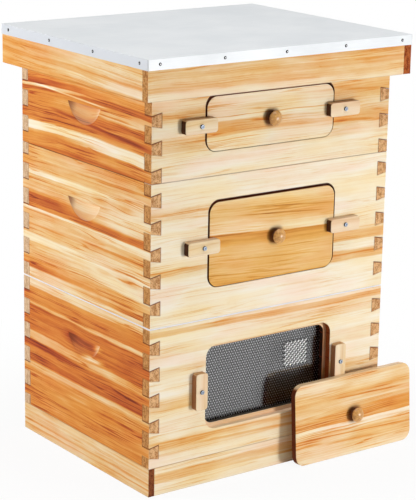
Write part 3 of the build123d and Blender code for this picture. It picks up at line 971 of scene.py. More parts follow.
@dataclass(frozen=True)
class MetalFinish:
    """Sheet or wire metal with faint brushing and dull patches.

    Attributes:
        light: Lighter colour of its upper and front sides.
        dark: Darker colour of its upper and front sides.
        side: Colour of its left and right sides, darker as painted shade.
        metallic: How much it looks like bare metal.
        roughness: Roughness on average.
        brush: Brush marks in a metre along each axis.
        clouds: Dull patches in a metre.
    """

    light: str
    dark: str
    side: str
    metallic: float
    roughness: float
    brush: Triple = (30.0, 900.0, 900.0)
    clouds: float = 9.0

    def material(self, name: str) -> bpy.types.Material:
        """Brushed streaks along one axis, slow clouding, and left and right sides darkened as painted shade.

        Args:
            name: Name of the material.

        Returns:
            The material.
        """
        shader = Shader.of_material(name)
        brushed = shader.noise(shader.stretched(self.brush), 3.0)
        clouds = shader.speckle(self.clouds, 3.0)
        tone = shader.smooth(brushed * 0.4 + clouds * 0.6, 0.3, 0.7)
        # Painted shade: surfaces facing left or right take the darker side colour.
        sideways = shader.smooth(abs(shader.facing()[Axis.X.value]), 0.6, 0.8)
        colour = shader.mix(tone, srgb(self.light), srgb(self.dark))
        return shader.finish(shader.principled({
            "Base Color": shader.mix(sideways * (0.8 + 0.2 * tone), colour, srgb(self.side)),
            "Metallic": self.metallic,
            "Roughness": self.roughness + (clouds - 0.5) * 0.25,
            "Normal": shader.bump(brushed, strength=0.04, distance=0.1 * MM),
        }))


@dataclass(frozen=True)
class ScrewFinish:
    """Screw heads that are bright on the flat, and dark in the cross and on the shoulder as painted shade.

    Attributes:
        bright: Colour of the flat.
        dark: Colour of the cross and the shoulder, a painted shade.
        step: Depths behind the flat between which the painted shade sets in.
        scuffs: Scuffs in a metre.
        scuff_reach: How far a scuff shifts the dark's edge.
        metallic: How much it looks like bare metal.
        roughness: Roughness of the flat.
    """

    bright: str
    dark: str
    step: Pair = (0.1 * MM, 0.55 * MM)
    scuffs: float = 1500.0
    scuff_reach: float = 0.2 * MM
    metallic: float = 0.7
    roughness: float = 0.52

    def material(self, name: str, flat: float) -> bpy.types.Material:
        """Bright where the head's flat lies, and painted shade from a little behind it.

        Args:
            name: Name of the material.
            flat: Place of the heads' flats along Y.

        Returns:
            The material.
        """
        shader = Shader.of_material(name)
        behind = shader.position()[Axis.Y.value] - flat
        scuff = shader.speckle(self.scuffs) - 0.5
        # Painted shade: the cross and the shoulder behind the flat are darkened.
        sunk_shade = shader.smooth(behind + scuff * self.scuff_reach, *self.step)
        return shader.finish(shader.principled({
            "Base Color": shader.mix(sunk_shade, srgb(self.bright), srgb(self.dark)),
            "Metallic": self.metallic,
            "Roughness": self.roughness + sunk_shade * 0.15,
        }))


@dataclass(frozen=True)
class NailFinish:
    """Driven nail heads: a bright middle and a dark rim, the rim's dark a painted shade.

    Attributes:
        bright: Colour of the middle.
        dark: Colour of the rim, a painted shade.
        rim: Shares of the head's radius between which the rim begins.
        scuffs: Scuffs in a metre.
        metallic: How much it looks like bare metal.
        roughness: Roughness of the middle.
    """

    bright: str
    dark: str
    rim: Pair = (0.22, 0.42)
    scuffs: float = 900.0
    metallic: float = 0.3
    roughness: float = 0.35

    def material(self, name: str) -> bpy.types.Material:
        """Bright to where the rim's painted shade begins, by the mesh's own shares of the radius.

        Args:
            name: Name of the material.

        Returns:
            The material.
        """
        shader = Shader.of_material(name)
        scuff = shader.speckle(self.scuffs) - 0.5
        # Painted shade: the head's rim is darkened by its share of the radius.
        rim = shader.smooth(shader.attribute("radius") + scuff * 0.2, *self.rim)
        return shader.finish(shader.principled({
            "Base Color": shader.mix(rim, srgb(self.bright), srgb(self.dark)),
            "Metallic": self.metallic,
            "Roughness": self.roughness + rim * 0.35,
            "Specular IOR Level": 0.3,
        }))


@dataclass(frozen=True)
class PlasticFinish:
    """Moulded plastic with a slight haze and scuffs.

    Attributes:
        light: Lighter colour of the haze.
        dark: Darker colour of the haze.
        roughness: Roughness on average.
        clouds: Patches of haze in a metre.
        scuffs: Scuffs in a metre.
    """

    light: str
    dark: str
    roughness: float
    clouds: float = 14.0
    scuffs: float = 420.0

    def material(self, name: str) -> bpy.types.Material:
        """Clouded colour with fine scuffing in the gloss.

        Args:
            name: Name of the material.

        Returns:
            The material.
        """
        shader = Shader.of_material(name)
        clouds = shader.speckle(self.clouds, 3.0)
        scuffs = shader.speckle(self.scuffs, 3.0, 0.7)
        tone = shader.smooth(clouds * 0.7 + scuffs * 0.3, 0.35, 0.65)
        return shader.finish(shader.principled({
            "Base Color": shader.mix(tone, srgb(self.light), srgb(self.dark)),
            "Roughness": self.roughness + (scuffs - 0.5) * 0.3,
            "Normal": shader.bump(scuffs, strength=0.05, distance=0.1 * MM),
        }))


@dataclass(frozen=True)
class CellFinish:
    """Black foundation whose cell floors carry a pale spot of wax, brightened as a painted highlight.

    Attributes:
        plastic: Colour of the foundation.
        wax: Colour of the spot, wax with a painted highlight.
        roughness: Roughness on average.
        edge: Amounts of the spot between which it ends.
        uneven: Bumps of a spot's outline in a metre.
    """

    plastic: str
    wax: str
    roughness: float = 0.6
    edge: Pair = (0.78, 0.94)
    uneven: float = 400.0

    def material(self, name: str) -> bpy.types.Material:
        """The pale spot where the mesh's own amounts say, with slightly uneven edges.

        Args:
            name: Name of the material.

        Returns:
            The material.
        """
        shader = Shader.of_material(name)
        uneven = shader.speckle(self.uneven) - 0.5
        # Partly wax and partly painted highlight: the pale spot on each cell floor.
        amount = shader.smooth(shader.attribute("wax") + uneven * 0.1, *self.edge)
        return shader.finish(shader.principled({
            "Base Color": shader.mix(amount, srgb(self.plastic), srgb(self.wax)),
            "Roughness": self.roughness + uneven * 0.2,
            "Specular IOR Level": 0.12,
        }))


@dataclass(frozen=True)
class PaneFinish:
    """Clear sheet, near black on its cut edges as painted shade, and with white dashes between its vents as
    a painted highlight.

    Attributes:
        mirror: Share of light that it mirrors when seen straight on.
        frosted_glint: Colour of the white dashes, a painted highlight.
        cut: Colour of cut edges and drilled walls, a painted shade.
        smears: Smears in a metre.
        vents: Middle of the vents, along X and Z.
        reach: Half width and half height of the patch of vents, from middle to middle.
        pitch: Distance from vent to vent, across and up, where every second place is left out.
        border: Width of the soft border of the patch.
    """

    mirror: float = 0.085
    frosted_glint: str = "#fbfcfc"
    cut: str = "#0c0d10"
    smears: float = 22.0
    vents: Pair = (75.0 * MM, 195.0 * MM)
    reach: Pair = (25.2 * MM, 22.0 * MM)
    pitch: Pair = (4.2 * MM, 4.0 * MM)
    border: float = 0.8 * MM

    def material(self, name: str, has_vents: bool) -> bpy.types.Material:
        """Clear, with a mirror share that grows with the fifth power of slant.

        Args:
            name: Name of the material.
            has_vents: Whether the pane has vents, with painted highlights beside them.

        Returns:
            The material.
        """
        shader = Shader.of_material(name)
        smear = shader.speckle(self.smears, 3.0)
        gloss = shader.node("BsdfGlossy", None, {"Roughness": 0.01 + 0.02 * smear}).outputs[0]
        clear = shader.node("BsdfTransparent").outputs[0]
        slant = Value(shader, shader.node("LayerWeight", None, {"Blend": 0.5}).outputs["Facing"])
        sheet = shader.blend(self.mirror + (1 - self.mirror) * slant ** 5, clear, gloss)
        if has_vents:
            # Painted highlight: white dashes between the vents.
            matt = shader.principled({"Base Color": srgb(self.frosted_glint), "Roughness": 0.4 + 0.4 * smear})
            sheet = shader.blend(self.scuffs(shader), sheet, matt)
        # Painted shade: cut edges and drilled walls are near black.
        edge = shader.principled({"Base Color": srgb(self.cut), "Roughness": 0.3 + 0.4 * smear})
        cut = 1 - shader.smooth(abs(shader.facing()[Axis.Y.value]), 0.4, 0.6)
        return shader.finish(shader.blend(cut, sheet, edge))

    def scuffs(self, shader: Shader) -> Value:
        """Painted highlight: slanted white dashes beside the vents, one cosine along their slant, less one
        across it.

        Args:
            shader: The pane's shader.

        Returns:
            How white the pane is.
        """
        x, _, z = shader.position()
        amount = 1.0
        turns = []
        for value, middle, reach, pitch in zip((x, z), self.vents, self.reach, self.pitch):
            beside = value - middle
            turns.append((beside + reach) * (math.pi / pitch))
            amount = amount * (1 - shader.smooth(abs(beside), reach, reach + self.border))
        lengthwise = shader.math("COSINE", turns[0] + turns[1])
        crosswise = shader.math("COSINE", turns[0] - turns[1])
        return amount * shader.smooth(lengthwise * 0.35 - crosswise * 0.65, 0.15, 0.5)


HIVE_TONES = ("#f8eeda", "#f2deb9", "#e9c086", "#e19a45", "#d0762c", "#b04c1a", "#7c2d0e")
GOLD_TONES = ("#f5e3bd", "#f0d29c", "#eabe7a", "#e2a750", "#ce8834", "#a86026", "#7a3a16")
HIVE_WOOD = WoodFinish(HIVE_TONES, "#e6b986", "#ad7340")
PALE_WOOD = WoodFinish(HIVE_TONES, "#d29a5c", "#9c6430", streak=0.2, blotch=0.1, fleck=0.18, ring=0.16)
BACK_WOOD = replace(PALE_WOOD, end_light="#dfc09c", end_dark="#bb9470", ring=0.12)
DARK_END_WOOD = replace(BACK_WOOD, end_light="#8c4e28", end_dark="#5a2a14")
RUST_END_WOOD = replace(BACK_WOOD, end_light="#b8642e", end_dark="#7c3010")
GOLD_WOOD = WoodFinish(GOLD_TONES, "#8a4a22", "#5e2c12", streak=0.24, blotch=0.12, ring=0.2)
BUTTON_WOOD = WoodFinish(("#f3e2c6", "#ecd3ac", "#e2c093", "#d0a270"), "#d8b184", "#b58a5c", streak=0.3)
FRAME_WOOD = WoodFinish(("#f4e3c2", "#ead0a2", "#dcb47c", "#c79456"), "#d2a873", "#a87a48", streak=0.25)
# The knob's third colour is the painted shade on its neck under the head.
KNOB_WOOD = TurnedWoodFinish("#dca656", "#b47832", "#481604", 0.4)
ROOF_METAL = MetalFinish("#eceff1", "#e2e6e9", "#ccd0d6", 0.05, 0.5)
SCREW_STEEL = MetalFinish("#d8d9da", "#a9acb0", "#b8babd", 0.9, 0.3, (900.0, 900.0, 900.0))
SCREW_HEADS = ScrewFinish("#929caa", "#1e2632")
NAIL_STEEL = NailFinish("#f0f1f2", "#2c2c2e")
EXCLUDER_PLASTIC = PlasticFinish("#f1f0f4", "#e4e2ea", 0.4)
FOUNDATION_PLASTIC = PlasticFinish("#0e0e10", "#161618", 0.5)
FOUNDATION_CELLS = CellFinish("#060608", "#bcbec2")
CLEAR_PANE = PaneFinish()

# Tints of the covers, buttons, windows and hand-holds. BURNT_EDGES, BUTTON_EDGES, RECESS_WALLS and LEDGE are
# colours of cut wood; the others are painted light or painted shade, some partly end grain.
BURNT_EDGES = ("#c8803c", 0.4)
# Painted light on the loose cover's upper edge.
PAINTED_LIGHT_TOP_EDGE = ("#ffe2b4", 0.9)
# Painted shade in the gap round a closed cover: its edges near black and its upper edge red-brown.
PAINTED_GAP_SHADE = ("#1c0904", 0.9)
PAINTED_GAP_SHADE_TOP = ("#a8440e", 0.95)
# End grain on the covers' left sides, darkened further as painted shade.
COVER_LEFT_END_GRAIN_AND_SHADE = ("#5a1604", 0.92)
# Painted shadow round the knob's foot.
KNOB_PAINTED_SHADOW = ("#5a2206", 0.85)
# Painted shade: a dark line on the face round a closed cover.
CLOSED_RIM_PAINTED_SHADE = ("#4e1604", 0.95)
RECESS_WALLS = ("#c88a48", 0.2)
# End grain on the open recess's left-facing wall, darkened further as painted shade.
RECESS_RIGHT_WALL_END_GRAIN_AND_SHADE = ("#8c3408", 0.85)
LEDGE = ("#d08632", 0.4)
# Painted shade on the ledge's right end.
LEDGE_RIGHT_END_PAINTED_SHADE = ("#8e4a16", 0.7)
# Painted shade: the deep walls of the opening near black.
OPENING_WALLS_PAINTED_SHADE = ("#0d0502", 0.95)
# Painted light on the hand-hold's wall that leans back, and painted shade on the wall that leans forward.
HOLD_PAINTED_LIGHT_WALL = ("#f3dcb8", 0.5)
HOLD_PAINTED_SHADE_WALL = ("#7c3410", 0.85)
BUTTON_EDGES = ("#8a4c20", 0.12)
# Painted shade on the buttons' left sides: near black on the upper boxes, where it is partly end grain, and
# brown on the lower box.
BUTTON_END_GRAIN_AND_SHADE_SIDE = ("#3a1206", 0.92)
BUTTON_PAINTED_SHADE_SIDE = ("#a8642c", 0.8)

FRAME_BANDS = ((0.0, 0.2), (0.5, 0.5), (1.0, 0.25))
BUTTON_BANDS = ((0.0, 0.2), (0.35, 0.1), (0.7, 0.4), (1.0, 0.25))


def dress(node: str, material: bpy.types.Material) -> None:
    """Gives a node of the frame its material.

    Args:
        node: Name of the node.
        material: The finish.
    """
    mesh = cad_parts[node].data
    mesh.materials.clear()
    mesh.materials.append(material)
    LOG.info("dressed %s with %s", node, material.name)


def dress_board(node: str, finish: WoodFinish, grain: Axis, across: Axis, figure: Figure) -> None:
    """Gives a plain board's node its wood."""
    dress(node, finish.material(node, Board.of_node(node, grain, across), figure))


def add_piece(
    name: str, points: np.ndarray, faces: list[list[int]], material: bpy.types.Material,
    attributes: dict[str, np.ndarray],
) -> bpy.types.Object:
    """Makes a smooth mesh piece from arrays.

    Args:
        name: Name of the piece.
        points: Vertex positions, one row each.
        faces: Corner numbers of each face.
        material: Finish of the piece.
        attributes: Numbers per vertex that the finish reads, by name.

    Returns:
        The new object, at the origin.
    """
    mesh = bpy.data.meshes.new(name)
    mesh.from_pydata(points.tolist(), [], faces)
    mesh.polygons.foreach_set("use_smooth", np.ones(len(faces), bool))
    for key, numbers in attributes.items():
        layer = mesh.attributes.new(key, "FLOAT", "POINT")
        layer.data.foreach_set("value", numbers.astype(np.float32))
    mesh.materials.append(material)
    mesh.update()
    piece = bpy.data.objects.new(name, mesh)
    bpy.context.scene.collection.objects.link(piece)
    LOG.info("built %s: %d faces", name, len(faces))
    return piece


def turned_faces(rings: int, steps: int) -> np.ndarray:
    """Faces of a turned surface: quads between rings, whose points are numbered ring by ring.

    Args:
        rings: Number of rings.
        steps: Points round each ring.

    Returns:
        Four corner numbers for each face.
    """
    ring, step = np.meshgrid(np.arange(rings - 1), np.arange(steps), indexing="ij")
    after = (step + 1) % steps
    lower, upper = ring * steps, (ring + 1) * steps
    corners = [lower + step, lower + after, upper + after, upper + step]
    return np.stack(corners, -1).reshape(-1, 4)


def turned_points(profile: np.ndarray, steps: int, origin: np.ndarray, axes: np.ndarray) -> np.ndarray:
    """A profile turned round an axis.

    Point (ring, step) stands at the ring's height along the third axis, and at the ring's radius along
    the first two, turned by the step's share of a full turn.

    Args:
        profile: Radius and height of each ring.
        steps: Points round each ring.
        origin: Foot of the axis.
        axes: Three unit vectors, one a row; the third is the axis.

    Returns:
        The points, ring by ring.
    """
    turn = np.linspace(0, 2 * np.pi, steps, endpoint=False)
    radius = profile[:, 0, None]
    local = np.stack([
        radius * np.cos(turn), radius * np.sin(turn), np.repeat(profile[:, 1, None], steps, 1)
    ], -1)
    return origin + local.reshape(-1, 3) @ axes


def arc(start: Pair, middle: Pair, end: Pair, count: int) -> np.ndarray:
    """Points on the circle through three points: centre from the equal distances, then an even sweep.

    Args:
        start: First point.
        middle: A point between the others.
        end: Last point.
        count: Number of points.

    Returns:
        The points, one row each.
    """
    corners = np.array([start, middle, end])
    rows = 2 * (corners[1:] - corners[0])
    centre = np.linalg.solve(rows, (corners[1:] ** 2 - corners[0] ** 2).sum(1))
    first, _, last = np.unwrap(np.arctan2(*(corners - centre).T[::-1]))
    radius = np.linalg.norm(corners[0] - centre)
    sweep = np.linspace(first, last, count)
    return centre + radius * np.stack([np.cos(sweep), np.sin(sweep)], -1)


@dataclass(frozen=True)
class KnobShape:
    """A turned knob with a waisted neck and a domed head.

    Places on its profile are a radius and a height. The tip is the radius of the small flats that close
    both ends, and the arc points are those of the neck, the rim and the dome.
    """

    tip: float = 0.05 * MM
    foot: float = 8.0 * MM
    neck: Pair = (6.0 * MM, 5.0 * MM)
    under: Pair = (12.0 * MM, 9.0 * MM)
    rim: Pair = (13.0 * MM, 11.0 * MM)
    dome_start: Pair = (12.0 * MM, 13.0 * MM)
    dome_middle: Pair = (6.71 * MM, 17.42 * MM)
    height: float = 19.0 * MM
    arc_points: tuple[int, int, int] = (14, 9, 12)
    steps: int = 48

    def profile(self) -> np.ndarray:
        """The outline from the foot's middle to the dome's top: a flat, then arcs of neck, rim and dome.

        Returns:
            Radius and height of each ring.
        """
        neck_points, rim_points, dome_points = self.arc_points
        flat = np.array([[self.tip, 0.0]])
        neck = arc((self.foot, 0.0), self.neck, self.under, neck_points)
        rim = arc(self.under, self.rim, self.dome_start, rim_points)
        dome = arc(self.dome_start, self.dome_middle, (self.tip, self.height), dome_points)
        return np.concatenate([flat, neck, rim[1:], dome[1:]])

    def build(self, name: str, origin: np.ndarray, axis: np.ndarray) -> bpy.types.Object:
        """Turns the profile, and closes both ends.

        Args:
            name: Name of the piece.
            origin: Middle of the knob's foot.
            axis: Unit vector that the knob points along.

        Returns:
            The knob.
        """
        side = np.array([1.0, 0.0, 0.0])
        axes = np.stack([side, np.cross(axis, side), axis])
        profile = self.profile()
        points = turned_points(profile, self.steps, origin, axes)
        rings = len(profile)
        faces = turned_faces(rings, self.steps).tolist()
        faces.append(list(range(self.steps))[::-1])
        faces.append(list(range((rings - 1) * self.steps, rings * self.steps)))
        heights = np.repeat(profile[:, 1], self.steps)
        return add_piece(name, points, faces, KNOB_WOOD.material(name + "_wood"), {"height": heights})


@dataclass(frozen=True)
class CellField:
    """Pressed hexagonal cells on one face of a foundation sheet.

    Attributes:
        pitch: Distance between the middles of neighbouring cells.
        rim: Height of the cell walls above the sheet.
        spot: Share of a cell's radius that its flat floor takes.
        floor: Height of the floor above the sheet.
        sides: Sides of a cell.
        weld: Points nearer than this are one.
    """

    pitch: float = 5.4 * MM
    rim: float = 0.3 * MM
    spot: float = 0.3
    floor: float = 0.1 * MM
    sides: int = 6
    weld: float = 0.01 * MM

    def centres(self, low: np.ndarray, high: np.ndarray) -> np.ndarray:
        """Middles of the cells that fit between two corners: rows half a pitch out of step.

        Args:
            low: Lowest corner of the field, across and up.
            high: Highest corner of the field.

        Returns:
            The middles, one row each.
        """
        row_pitch = self.pitch * math.sqrt(3) / 2
        columns = int((high[0] - low[0]) / self.pitch - 1)
        rows = int((high[1] - low[1]) / row_pitch - 1)
        row, column = np.meshgrid(np.arange(rows), np.arange(columns), indexing="ij")
        across = (column + 0.5 * (row % 2)) * self.pitch
        up = row * row_pitch
        grid = np.stack([across, up], -1).reshape(-1, 2)
        return grid - (grid.max(0) + grid.min(0)) / 2 + (low + high) / 2

    def pattern(self) -> np.ndarray:
        """Triangles of one cell, between its outer ring, its inner ring and its middle.

        Returns:
            Three corner numbers for each triangle; the rings come first, the middle last.
        """
        corner = np.arange(self.sides)
        after = (corner + 1) % self.sides
        inner, inner_after = corner + self.sides, after + self.sides
        middle = np.full(self.sides, 2 * self.sides)
        rows = ((corner, after, inner_after), (corner, inner_after, inner), (inner, inner_after, middle))
        return np.concatenate([np.stack(row, -1) for row in rows])

    def surface(
        self, low: np.ndarray, high: np.ndarray, face: float, outward: float
    ) -> tuple[np.ndarray, np.ndarray, np.ndarray]:
        """The cells as one welded sheet.

        Each cell is a funnel: a ring of corners at the rim's height, and a smaller ring and a middle at the
        floor's height, all measured outward from the sheet's face.

        Args:
            low: Lowest corner of the field, across and up.
            high: Highest corner of the field.
            face: Place of the sheet's face along Y.
            outward: Sign of the outward direction along Y.

        Returns:
            Points, triangles and the amount of the pale spot at each point.
        """
        centres = self.centres(low, high)
        turn = np.deg2rad(30 + 60 * np.arange(self.sides))
        spokes = np.stack([np.cos(turn), np.sin(turn)], -1) * self.pitch / math.sqrt(3)
        flat = np.concatenate([spokes, spokes * self.spot, np.zeros((1, 2))])
        counts = [self.sides, self.sides + 1]
        heights = np.repeat([self.rim, self.floor], counts)
        wax = np.repeat([0.0, 1.0], counts)
        plane = (centres[:, None, :] + flat).reshape(-1, 2)
        depth = face + outward * np.tile(heights, len(centres))
        points = np.stack([plane[:, 0], depth, plane[:, 1]], -1)
        pattern = self.pattern() if outward < 0 else self.pattern()[:, ::-1]
        triangles = (np.arange(len(centres))[:, None, None] * len(flat) + pattern).reshape(-1, 3)
        rounded = np.round(points / self.weld).astype(np.int64)
        _, first, welded = np.unique(rounded, axis=0, return_index=True, return_inverse=True)
        return points[first], welded.reshape(-1)[triangles], np.tile(wax, len(centres))[first]


@dataclass
class FrameSet:
    """Ten hanging frames of one box: bars and foundation sheets.

    Attributes:
        box: The box that they hang in.
        margin: Width of the plain border of a sheet.
        cells: The cells pressed into the outermost faces.
    """

    box: BoxName
    margin: float = 6.0 * MM
    cells: CellField = field(default_factory=CellField)

    def dress(self) -> None:
        """Dresses the bars and sheets, and lays cells on the two outermost faces."""
        name = self.box.value
        figure = Figure(FRAME_BANDS, FRAME_BANDS, seed=len(name))
        for bars, grain in (("top_bars", Axis.X), ("side_and_bottom_bars", Axis.Z)):
            dress_board(f"{name}_frame_{bars}", FRAME_WOOD, grain, Axis.Y, figure)
        sheets = f"{name}_foundations"
        dress(sheets, FOUNDATION_PLASTIC.material(sheets))
        self.build_cells(sheets)

    def build_cells(self, sheets: str) -> None:
        """Lays pressed cells on the first sheet's front and on the last sheet's back.

        Args:
            sheets: Name of the sheets' node.
        """
        low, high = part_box(sheets)
        corner = np.array([low.x + self.margin, low.z + self.margin])
        opposite = np.array([high.x - self.margin, high.z - self.margin])
        front = self.cells.surface(corner, opposite, low.y, -1.0)
        back = self.cells.surface(corner, opposite, high.y, 1.0)
        points = np.concatenate([front[0], back[0]])
        faces = np.concatenate([front[1], back[1] + len(front[0])])
        wax = np.concatenate([front[2], back[2]])
        name = f"{self.box.value}_foundation_cells"
        piece = add_piece(name, points, faces.tolist(), FOUNDATION_CELLS.material(name), {"wax": wax})
        piece.data.polygons.foreach_set("use_smooth", np.zeros(len(faces), bool))
        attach(piece, f"{self.box.value}_frames")


@dataclass
class WindowCover:
    """A window's cover board with its turned knob.

    Attributes:
        box: The box that the cover belongs to.
        body: The body that it moves with.
        tilt: How far it leans back, in radians.
        figure: The board's figure.
        finish: The board's wood.
        edges: Tint of its edges, which on a closed cover is painted shade in the gap.
        top_edge_light_or_shade: Tint of its upper edge: painted light on the loose cover, painted shade in
            the gap on a closed one.
        thickness: Thickness of the board.
        shadow_reach: Reach of the painted shadow round the knob's foot.
    """

    box: BoxName
    body: str
    tilt: float
    figure: Figure
    finish: WoodFinish
    edges: Tint
    top_edge_light_or_shade: Tint
    thickness: float = 11.0 * MM
    shadow_reach: float = 22.0 * MM

    def dress(self) -> None:
        """Dresses the board, and builds the knob on the middle of its outer face."""
        node = f"{self.box.value}_window_cover"
        board = Board.of_node(node, Axis.X, Axis.Z)
        outward = np.array([0.0, -math.cos(self.tilt), math.sin(self.tilt)])
        knob_node = f"{self.box.value}_cover_knob"
        foot = (np.array(board.low) + np.array(board.high)) / 2 + outward * self.thickness / 2
        knob_low, knob_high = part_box(knob_node)
        foot[0] = (knob_low.x + knob_high.x) / 2
        shadow_low, shadow_high = tuple(foot - self.shadow_reach), tuple(foot + self.shadow_reach)
        cuts = (
            # The edges' tint is painted shade on a closed cover.
            Cut.all_over(board, *self.edges, Faces.EDGES),
            # The upper edge's tint is painted light on the loose cover and painted shade in the gap on a
            # closed one.
            Cut.all_over(board, *self.top_edge_light_or_shade, Faces.UPWARD),
            # Left side: end grain, darkened further as painted shade.
            Cut.all_over(board, *COVER_LEFT_END_GRAIN_AND_SHADE, Faces.LEFT),
            # Painted shadow round the knob's foot.
            Cut(shadow_low, shadow_high, *KNOB_PAINTED_SHADOW, soft=0.5 * self.shadow_reach, radius=self.shadow_reach),
        )
        dress(node, self.finish.material(node, board, self.figure, cuts))
        knob = KnobShape().build(f"{self.box.value}_turned_knob", foot, outward)
        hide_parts(knob_node)
        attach(knob, self.body)


@dataclass(frozen=True)
class Window:
    """A window in a box's front board.

    Attributes:
        shift: How far right and up of the board's middle it lies.
        size: Width and height of the outer recess.
        is_open: Whether its cover is off.
        slip: How far left and up the painted shade line round a closed cover is off the middle.
        recess: Depth of the recess, where its ledge lies.
        corner: Corner radius of the outer recess.
        margin: How far the tinted region reaches past the recess.
        skin: How far the ledge's tint reaches before and behind it.
        ledge_end: Width of the right end of the ledge, darkened as painted shade.
    """

    shift: Pair
    size: Pair
    is_open: bool
    slip: Pair = (0.0, 0.0)
    recess: float = 11.0 * MM
    corner: float = 22.0 * MM
    margin: float = 0.8 * MM
    skin: float = 0.7 * MM
    ledge_end: float = 9.0 * MM

    def cuts(self, board: Board) -> tuple[Cut, ...]:
        """A painted shade line round a closed cover, or the walls and the ledge of an open recess, with
        painted shade on some of them.

        Args:
            board: The front board.

        Returns:
            The cuts.
        """
        (right, up), (width, height) = self.shift, self.size
        x = (board.low[0] + board.high[0]) / 2 + right
        z = (board.low[2] + board.high[2]) / 2 + up
        half_width, half_height = width / 2 + self.margin, height / 2 + self.margin
        low = (x - half_width, board.low[1] - self.margin, z - half_height)
        high = (x + half_width, board.high[1] + self.margin, z + half_height)
        if not self.is_open:
            left, lift = self.slip
            low = (low[0] - left, low[1], low[2] + lift)
            high = (high[0] - left, high[1], high[2] + lift)
            # Painted shade: a dark line on the face round a closed cover, thicker at the top and left.
            return (Cut(low, high, *CLOSED_RIM_PAINTED_SHADE, radius=self.corner + self.margin),)
        ledge = board.low[1] + self.recess
        ledge_low = (low[0], ledge - self.skin, low[2])
        ledge_high = (high[0], ledge + self.skin, high[2])
        end_low = (high[0] - self.ledge_end, *ledge_low[1:])
        deep = (low[0], ledge_high[1], low[2])
        return (
            Cut(low, high, *RECESS_WALLS, Faces.EDGES),
            # End grain on the wall that faces left, darkened further as painted shade.
            Cut(low, high, *RECESS_RIGHT_WALL_END_GRAIN_AND_SHADE, Faces.LEFT),
            Cut(ledge_low, ledge_high, *LEDGE),
            # Painted shade on the ledge's right end.
            Cut(end_low, ledge_high, *LEDGE_RIGHT_END_PAINTED_SHADE),
            # Painted shade: the deep walls of the opening near black.
            Cut(deep, high, *OPENING_WALLS_PAINTED_SHADE, Faces.EDGES),
        )


@dataclass(frozen=True)
class HandHold:
    """A half-moon hand-hold in a left or right board.

    Attributes:
        edge: Height of its straight upper edge above the board's lower edge.
        tint: Tint of the fresh cut.
        half_width: Half the width of its region.
        drop: How far its region reaches below the upper edge.
        margin: How far its region reaches above the upper edge.
        depths: Where its region begins and ends, under the board's face.
    """

    edge: float
    tint: Tint
    half_width: float = 56.0 * MM
    drop: float = 38.0 * MM
    margin: float = 1.0 * MM
    depths: Pair = (0.3 * MM, 15.0 * MM)

    def cuts(self, board: Board, side: Side) -> tuple[Cut, ...]:
        """A fresh cut, with painted light where its wall leans back and painted shade where it leans
        forward.

        Args:
            board: The board.
            side: The board's side of the hive.

        Returns:
            The cuts.
        """
        outward, _ = side.value
        face = board.low[0] if side is Side.LEFT else board.high[0]
        left, right = sorted(face - outward * depth for depth in self.depths)
        edge = board.low[2] + self.edge
        low = (left, -self.half_width, edge - self.drop)
        high = (right, self.half_width, edge + self.margin)
        return (
            Cut(low, high, *self.tint),
            # Painted light and painted shade, by the way the hand-hold's wall leans.
            Cut(low, high, *HOLD_PAINTED_LIGHT_WALL, Faces.BACKWARD),
            Cut(low, high, *HOLD_PAINTED_SHADE_WALL, Faces.FORWARD),
        )


